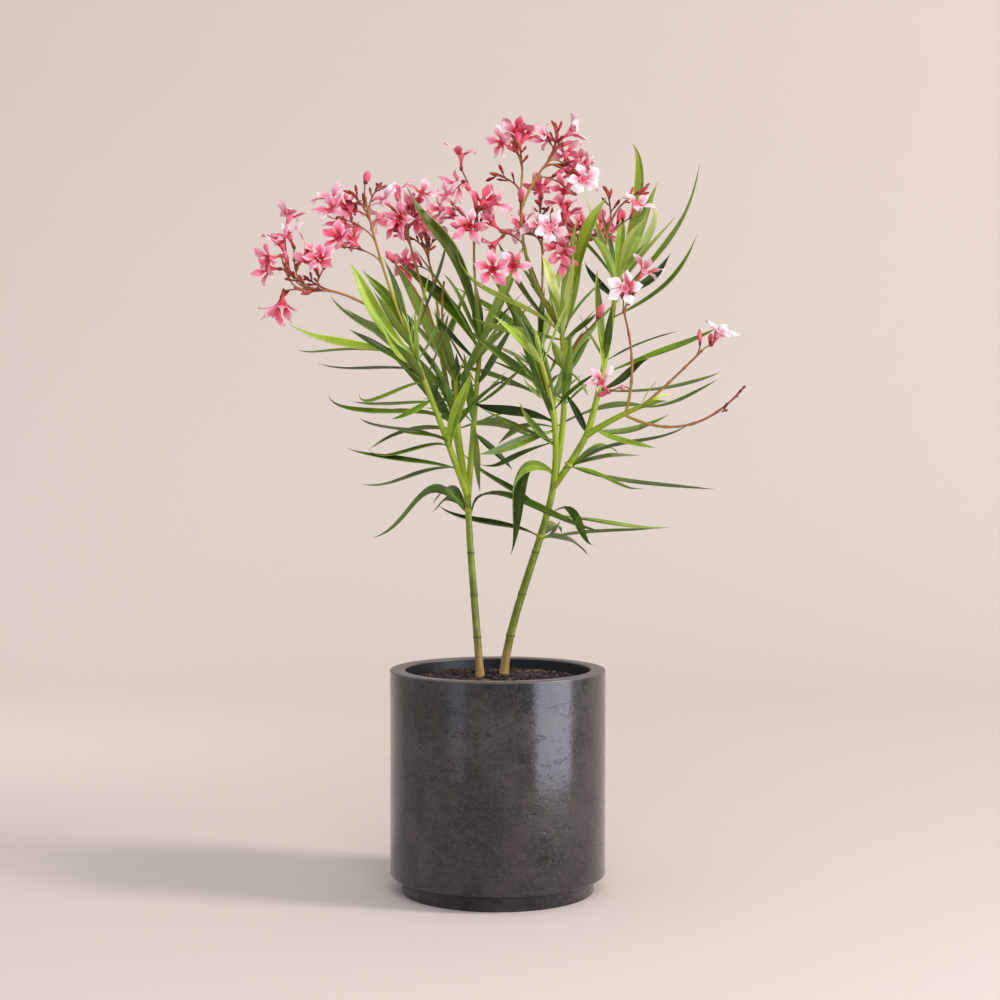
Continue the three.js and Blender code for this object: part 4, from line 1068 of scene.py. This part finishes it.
def leaf_to(name, root, face, tone, places, chance):
    """A leaf whose rib passes two given points, moved in depth as in its solid."""
    tip, near, far = map(Vector, places)
    level = (tip - root).cross(BACK).normalized()
    turn = math.radians(face)
    upper = level * math.copysign(math.cos(turn), level.z) - BACK * math.sin(turn)
    ribs = []
    for shift in LEAF_SHIFTS:
        start = root + BACK * (ROOT_SHIFT * shift)
        first, second = near + BACK * shift, far + BACK * shift
        rib = [
            start,
            (18 * first - 5 * start - 9 * second + 2 * tip) / 6,
            (18 * second - 5 * tip - 9 * first + 2 * start) / 6,
            tip,
        ]
        keel = LEAF_THICKNESS * length_of(rib) * (1 - LEAF_THINNING / 2)
        below = along(rib, 0.5)[0] - upright(rib, upper)[1] * keel
        ribs.append((solid_corners[name].find(below)[2], rib))
    nearest = min(ribs, key=lambda entry: entry[0])[1]
    blade(nearest, upper, tone, chance, NEW_LEAF_BREADTH if tone > NEW_LEAF else 1, LONE_LEAF_LOOSENESS)


def leaning(axis, spread, heading):
    """A direction that leans away from an axis by `spread` towards `heading`, both in degrees."""
    right = (RIGHT - axis * axis.x).normalized()
    turn, lean = math.radians(heading), math.radians(spread)
    outward = right * math.cos(turn) + axis.cross(right) * math.sin(turn)
    return axis * math.cos(lean) + outward * math.sin(lean)


def corners_of(name):
    """A search tree of a solid's corners, in mm."""
    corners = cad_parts[name].data.vertices
    tree = KDTree(len(corners))
    for corner in corners:
        tree.insert(corner.co / MM, corner.index)
    tree.balance()
    return tree


NEAR = 0.8  # mm: a solid with a corner this near a tip has that leaf or bud
solid_corners = {name: corners_of(name) for name in (*SHOOTS, *COLLARS, *TRUSSES)}


def is_grown(name, tip):
    """Whether the solid has a leaf or bud that ends there."""
    return solid_corners[name].find(tip)[2] < NEAR


for index, (name, collar) in enumerate(COLLARS.items()):
    chance = series(index + 101)
    parent, share = collar["on"]
    middle, axis = along(limbs[parent], share)
    reach = mix((STEMS | BOUGHS)[parent]["radii"], share) + GAP + COLLAR_WALL
    ends = [middle - COLLAR_HALF * axis, middle + COLLAR_HALF * axis]
    stalk(ends, (reach - 1.4, reach - 1.4), (0.1, 0.1), 16, 6, lambda share: -1.6 * (2 * share - 1) ** 2)
    for face, tone, *places in collar["leaves"]:
        outward = Vector(places[1]) - middle
        outward = (outward - axis * outward.dot(axis)).normalized()
        leaf_to(name, middle + outward * (reach - COLLAR_SUNK), face, tone, places, chance)
for index, (name, shoot) in enumerate(SHOOTS.items()):
    chance = series(index + 201)
    for share, face, tone, *places in shoot.get("shown", []):
        leaf_to(name, along(limbs[name], share)[0], face, tone, places, chance)
for index, (name, shoot) in enumerate(SHOOTS.items()):
    chance = series(index + 31)
    looks = series(index + 301)
    tiers = shoot["whorls"]
    for tier in range(tiers):
        height = tier / (tiers - 1) if tiers > 1 else 1
        share = mix((shoot["bare"], LAST_WHORL), height)
        root, axis = along(limbs[name], share)
        for side in range(3):
            heading = shoot["turn"] + 60 * tier + 120 * side + HEADING_SCATTER * (next(chance) - 0.5)
            spread = mix(SPREADS, height) + SPREAD_SCATTER * (next(chance) - 0.5)
            length = shoot["leaf"] * mix(LEAF_SIZES, next(chance))
            lift = mix(LIFTS, height) + LIFT_SCATTER * (next(chance) - 0.5)
            for swing in LEAF_SWINGS:
                start = leaning(axis, spread, heading + swing)
                end = (start + UP * lift).normalized()
                middle = root + start * (length / 2)
                tip = middle + end * (length / 2)
                if is_grown(name, tip):
                    blade([root, middle, tip], axis, mix((0.2, 0.55), height) + 0.15 * next(looks), looks)
                    break
    # Shorter leaves fill the crown between the whorls, where the photograph shows no gaps
    first, extra = shoot.get("filled", (0, 0))
    for tier in range(extra):
        share = mix((first, FILL_END), tier / max(extra - 1, 1))
        root, axis = along(limbs[name], share)
        for side in range(3):
            heading = 50 * tier + 120 * side + 40 * next(looks)
            start = leaning(axis, mix(FILL_SPREADS, share) + SPREAD_SCATTER * next(looks), heading)
            length = mix(FILL_LENGTHS, next(looks))
            middle = root + start * (length / 2)
            end = (start + UP * mix(FILL_LIFTS, next(looks))).normalized()
            tip = middle + end * (length / 2)
            blade([root, middle, tip], axis, mix((0.15, 0.75), share * next(looks)), looks)
    # Three young leaves close round each shoot's end
    root, axis = along(limbs[name], SHOOT_END)
    for side in range(3):
        start = leaning(axis, 24 + 10 * next(looks), shoot.get("turn", 0) + 40 + 120 * side)
        tip = root + start * (30 + 22 * next(looks)) + UP * 4
        bow = root.lerp(tip, 0.5) + UP * (LEAF_BOW * (tip - root).length)
        blade(through(root, bow, tip), axis, 0.75, looks, 0.9)
leaves.piece("foliage", leaf_tints + under_tints, [*SHOOTS, *COLLARS])


# Flowers
# Oleander blossom, 44 mm across: a slim tube that widens into a throat with a toothed fringe, and
# five pointed lobes that turn like a propeller. From nearly white through rose to a deep red-pink,
# always deepest in the throat and along the tube. A small wine-red cup holds each one.
TUBE_LENGTH = 21
FACINGS = (0.5, 1.1)
BRANCH_LEAD = 0.4
# Two more branches leave each flower's own: how far along it, and how far they lean from it
SIDE_BRANCHES = ((0.72, 48), (0.55, 34))
SMALL_FLOWER = 0.85
LOBES = 5
LOBE_STEPS = 9
LOBE_ROOT = (4.2, 17.2)  # mm from the axis, and over the foot
# Across a petal from edge to edge, and its half width along its length, as shares
LOBE_LINES = (-1, -0.72, -0.3, 0.1, 0.5, 0.8, 1)
LOBE_OUTLINE = (0.32, 0.42, 0.6, 0.82, 0.98, 0.97, 0.8, 0.54, 0.26, 0.03)
LOBE_HALF_WIDTH = 5.8
LOBE_LENGTH = 18.5
LOBE_SWERVE = 3.4
LOBE_THICKNESS = 0.32
# How each petal differs from the others: turned, larger, curled, raised, canted, deeper in colour
LOBE_TURNS = (-9, 9)
LOBE_SIZES = (0.82, 1.1)
LOBE_CURLS = (-22, 36)
LOBE_RAISES = (-12, 14)
LOBE_CANTS = (-0.5, 0.9)
LOBE_BLUSHES = (-0.1, 0.1)
# Radii and heights of the tube, up its outside, over its mouth and down its throat, and of the cup
FLOWER_TUBE = [
    (1.0, 0), (1.4, 3), (1.6, 8), (2.5, 12), (3.8, 15), (4.7, 17.6),
    (4.3, 17.6), (3.3, 15.6), (1.9, 13.6), (0.4, 13),
]
FLOWER_CUP = [(1.1, -1.5), (2.0, 0.5), (2.1, 3), (1.3, 4.6)]
# Petals are matt and soft, nearly white at the edge of the palest and deep rose in the throat
FLOWER_TONES = 16
flower_tints = ramp("oleander petal", [0xFDF4F5, 0xFBD4DE, 0xF7A8BD, 0xF07C97, 0xE04C64, 0xB8262E],
                    FLOWER_TONES, Roughness=0.6, Specular_IOR_Level=0.25)
# Furled buds are waxy and tight, coral where they will open next and wine red while small
BUD_TONES = 8
bud_tints = ramp("oleander bud", [0xE0606A, 0xB43C38, 0x8A2C22, 0x5C1E14], BUD_TONES,
                 Roughness=0.45, Specular_IOR_Level=0.3)
blossom = Gathered()


def across_axis(axis):
    """Two directions square to an axis and to each other."""
    side = axis.cross(BACK if abs(axis.y) < 0.9 else UP).normalized()
    return side, axis.cross(side)


def lathe(batch, foot, axis, profile, tones, sides):
    """A thin closed form turned round an axis, from radii and heights."""
    side, over = across_axis(axis)
    rings = [round_section(foot + axis * height, side, over, radius, sides) for radius, height in profile]
    batch.skin(rings, lambda ring, corner: tones[ring])


def flower(foot, facing, roll, depth, opened, broad, chance):
    """An open flower whose foot, facing and turn are those of its solid."""
    side, over = across_axis(facing)
    deep = min(1, depth + 0.2)
    throat = mix((0.3, 0.86), min(1, 2.2 * depth))
    depths = [0.88, 0.84, max(0.74, depth), deep, deep, deep, throat, throat + 0.12, throat + 0.25]
    lathe(blossom, foot, facing, FLOWER_TUBE, [tone_of(each, FLOWER_TONES) for each in depths], 12)
    lathe(twigs, foot, facing, FLOWER_CUP, [tone_of(red, TWIG_TONES) for red in (0.8, 0.72, 0.66)], 8)
    first = math.radians(mix((78, 36), opened))
    last = math.radians(mix((40, -14), opened))
    for lobe in range(LOBES):
        heading = roll + 2 * math.pi * lobe / LOBES + math.radians(mix(LOBE_TURNS, next(chance)))
        size = mix(LOBE_SIZES, next(chance))
        wave = 2 * math.pi * next(chance)
        curl = math.radians(mix(LOBE_CURLS, next(chance)))
        raised = math.radians(mix(LOBE_RAISES, next(chance)))
        cant = mix(LOBE_CANTS, next(chance))
        blush = mix(LOBE_BLUSHES, next(chance))
        outward = side * math.cos(heading) + over * math.sin(heading)
        sideways = facing.cross(outward)
        reach, height = LOBE_ROOT
        rings = []
        for ring in range(LOBE_STEPS + 1):
            share = ring / LOBE_STEPS
            pitch = mix((first, last), share) + raised - curl * share
            if ring:
                reach += size * LOBE_LENGTH / LOBE_STEPS * math.cos(pitch)
                height += size * LOBE_LENGTH / LOBE_STEPS * math.sin(pitch)
            half = LOBE_HALF_WIDTH * broad * size * LOBE_OUTLINE[ring] * mix((0.8, 1), opened)
            swerve = LOBE_SWERVE * share ** 1.4
            normal = facing * math.cos(pitch) - outward * math.sin(pitch)
            rings.append([])
            for line, level in sheet_section(LOBE_LINES):
                lift = (1.5 + 2.6 * cant) * line * share - 1.1 * line * line * (1 - share)
                lift += 0.7 * share * math.sin(4 * line + 6 * share + wave)
                lift += LOBE_THICKNESS / 2 * level
                flat = outward * reach + sideways * (swerve + line * half * (1.08 if line > 0 else 0.94))
                rings[-1].append(foot + facing * height + flat + normal * lift)

        def tone_at(ring, strip):
            """Deep by the throat and along the middle, and paler towards the rim."""
            share = (ring + 0.5) / LOBE_STEPS
            is_top = strip < len(LOBE_LINES) - 1
            line = abs(LOBE_LINES[strip] + LOBE_LINES[strip + 1]) / 2 if is_top else 0.4
            here = 0.93 * depth - 0.03 + blush + (throat - depth) * max(0, 1 - share / 0.55) ** 1.2
            here += 0.2 * (1 - line) * (1 - share) - 0.4 * share * line * (0.2 + depth)
            here += 0.55 * max(0, 0.5 - depth) * (1 - line) ** 2 * (1 - share)
            here += 0.07 * math.sin(5 * share + wave) + (0 if is_top else 0.05)
            return tone_of(here, FLOWER_TONES)

        blossom.skin(rings, tone_at, (0, len(LOBE_LINES) - 1))
        # The fringe: three teeth at the foot of each petal
        for tooth in (-1, 0, 1):
            base = foot + facing * 17 + outward * 4.1 + sideways * (1.5 * tooth)
            tip = base + facing * mix((2.4, 3.6), next(chance)) - outward * 0.4 + sideways * (0.4 * tooth)
            corners = [base + sideways * 0.75, base - sideways * 0.75, base + outward * 0.5, tip]
            tones = [tone_of(depth + 0.2, FLOWER_TONES)] * 4
            blossom.take(corners, [[0, 2, 1], [0, 1, 3], [1, 2, 3], [2, 0, 3]], tones)


def branch_to(name, share, end):
    """A branch's curve: it leaves along its stalk and bends to its end."""
    start, way = along(limbs[name], share)
    return [start, start + way * (BRANCH_LEAD * (end - start).length), end]


# Along a bud from foot to tip: the share of its length, and how full it is
BUD_ROWS = [
    (0.0, 0.35), (0.12, 0.62), (0.3, 0.82), (0.5, 1.0),
    (0.68, 0.98), (0.84, 0.66), (0.95, 0.28), (1.0, 0.05),
]
BUD_SIDES = 10


def bud(tip, way, length, radius, tone_at, twist):
    """A furled bud that ends at a tip, with its five folds wound by `twist` and a cup at its foot."""
    side, over = across_axis(way)
    foot = tip - way * length
    rings = []
    for share, full in BUD_ROWS:
        rings.append([])
        for corner in range(BUD_SIDES):
            angle = 2 * math.pi * corner / BUD_SIDES + twist * share
            reach = radius * full * (1 + 0.1 * math.cos(5 * (angle - twist * share)))
            flat = side * (reach * math.cos(angle)) + over * (reach * math.sin(angle))
            rings[-1].append(foot + way * (length * share) + flat)
    blossom.skin(rings, lambda ring, corner: tone_at(BUD_ROWS[ring + 1][0]))
    cup = [(0.7, -0.8), (0.62 * radius, 0.6), (0.66 * radius, 0.16 * length), (0.5 * radius, 0.24 * length)]
    lathe(twigs, foot, way, cup, [tone_of(red, TWIG_TONES) for red in (0.92, 0.85, 0.8)], 8)


def furled(tip, way, length, radius):
    """A flower still rolled up: red at its foot, pink towards the tip."""
    bud(tip, way, length, radius, lambda share: tone_of(0.88 - 0.3 * share, FLOWER_TONES), 2.2)


TWIG_RADII = (0.75, 0.75)
LONE = ("truss_outer", "truss_right", "truss_right_front")  # flowers that stand by themselves
for index, (name, truss) in enumerate(TRUSSES.items()):
    chance = series(index + 1)
    looks = series(index + 401)
    for share, mouth, way, (depth, opened, *broad) in truss.get("flowers", []):
        mouth = Vector(mouth)
        outward = (mouth - along(limbs[name], share)[0]).normalized() + BACK * mix(FACINGS, next(chance))
        facing = (Vector(way) if way else outward).normalized()
        foot = mouth - facing * TUBE_LENGTH
        roll = next(chance) * math.pi
        breadth = broad[0] if broad else mix((0.9, 1.15), next(looks))
        flower(foot, facing, roll, depth, opened, breadth, looks)
        curve = branch_to(name, share, foot + facing * 1)
        stalk(curve, PEDICEL_RADII, (0.3, 0.8), 7, 10)
        # A second, smaller flower and a furled one leave the same branch
        for place_on, lean_by in SIDE_BRANCHES:
            start, way_on = along(curve, mix((place_on - 0.1, place_on + 0.1), next(looks)))
            lean = leaning(way_on, lean_by + 16 * next(looks), 360 * next(looks))
            end = start + (way_on + lean) * mix((2.5, 6), next(looks))
            stalk([start, start + way_on * 3, end], TWIG_RADII, (0.75, 0.75), 6, 5)
            if lean_by > 40 and name not in LONE:
                roll = 6 * next(looks)
                shade = mix((depth, 0.5), next(looks))
                flower(end, lean, roll, shade, mix((0.2, 0.8), next(looks)), SMALL_FLOWER, looks)
            else:
                length = mix((14, 21), next(looks))
                furled(end + lean * length, lean, length, mix((2.1, 3), next(looks)))


# Buds
# Slim pointed wine-red buds on short stalks near the end of each truss, with four smaller ones on
# forks of each stalk, and a few flowers that are still furled, with the petals wound round each other.
BUD_REACH = (34, 50)
BUD_LEANS = (19, 57)
BUD_PLACES = (1, 0.7)
BUD_SCATTER = 54
FORKS = 4
# At the end of the lowest outer stalk: how far from its tip each tiny bud is, and its length
TINY_BUDS = ((0, 6), (5, 5), (11, 4.5), (27, 6), (30, 5))


def bud_tones(age, spread):
    """Tones along a bud: how old it looks at its foot, and how much older at its tip."""
    return lambda share: FLOWER_TONES + tone_of(age + spread * share, BUD_TONES)


for index, (name, truss) in enumerate(TRUSSES.items()):
    looks = series(index + 501)
    for share, tip in truss.get("shut", []):
        tip = Vector(tip)
        curve = branch_to(name, share, tip)
        foot, way = along(curve, 0.55)
        stalk([curve[0], curve[0].lerp(curve[1], 0.6), foot], (0.85, 0.85), (0.5, 0.85), 7, 8)
        furled(tip, (tip - foot).normalized(), (tip - foot).length, 2.4 if name in LONE else 4)
    chance = series(index + 61)
    for number in range(truss["buds"]):
        share = mix(BUD_PLACES, next(chance))
        heading = 360 * number / truss["buds"] + BUD_SCATTER * next(chance)
        spread = mix(BUD_LEANS, next(chance))
        start, axis = along(limbs[name], share)
        tip = start + leaning(axis, spread, heading) * mix(BUD_REACH, next(chance))
        if not is_grown(name, tip):
            continue
        curve = branch_to(name, share, tip)
        stalk(curve, (1.2, 0.8), (0.5, 0.9), 6, 10)
        bud(tip, along(curve, 1)[1], 14, 2.1, bud_tones(mix((0, 0.5), next(looks)), 0.3), 1.5)
        for fork in range(FORKS):
            place, way = along(curve, 0.42 + 0.14 * fork)
            lean = leaning(way, 22 + 20 * next(looks), 150 * fork + 60 * next(looks))
            end = place + lean * mix((5, 11), next(looks))
            stalk([place, place + way * 2 + lean * 2, end], TWIG_RADII, (0.8, 0.8), 6, 4)
            tones = bud_tones(mix((0, 0.6), next(looks)), 0.4)
            length = mix((8, 13), next(looks))
            bud(end + lean * length * 0.8, lean, length, mix((1.3, 1.9), next(looks)), tones, 1)
tip, way = along(limbs["truss_outer_low"], 1)
for fork, (back_by, length) in enumerate(TINY_BUDS):
    place = tip - way * back_by
    lean = leaning(way, 12 + 9 * fork, 90 + 170 * fork)
    stalk([place - way * 2, place, place + lean * 2.5], (0.8, 0.8), (0.85, 0.85), 6, 4)
    bud(place + lean * (2 + length), lean, length, 1.5, bud_tones(0.6, 0.3), 1)
blossom.piece("blossom", flower_tints + bud_tints, TRUSSES)
twigs.piece("shoots_and_stalks", twig_tints, SHOOTS)
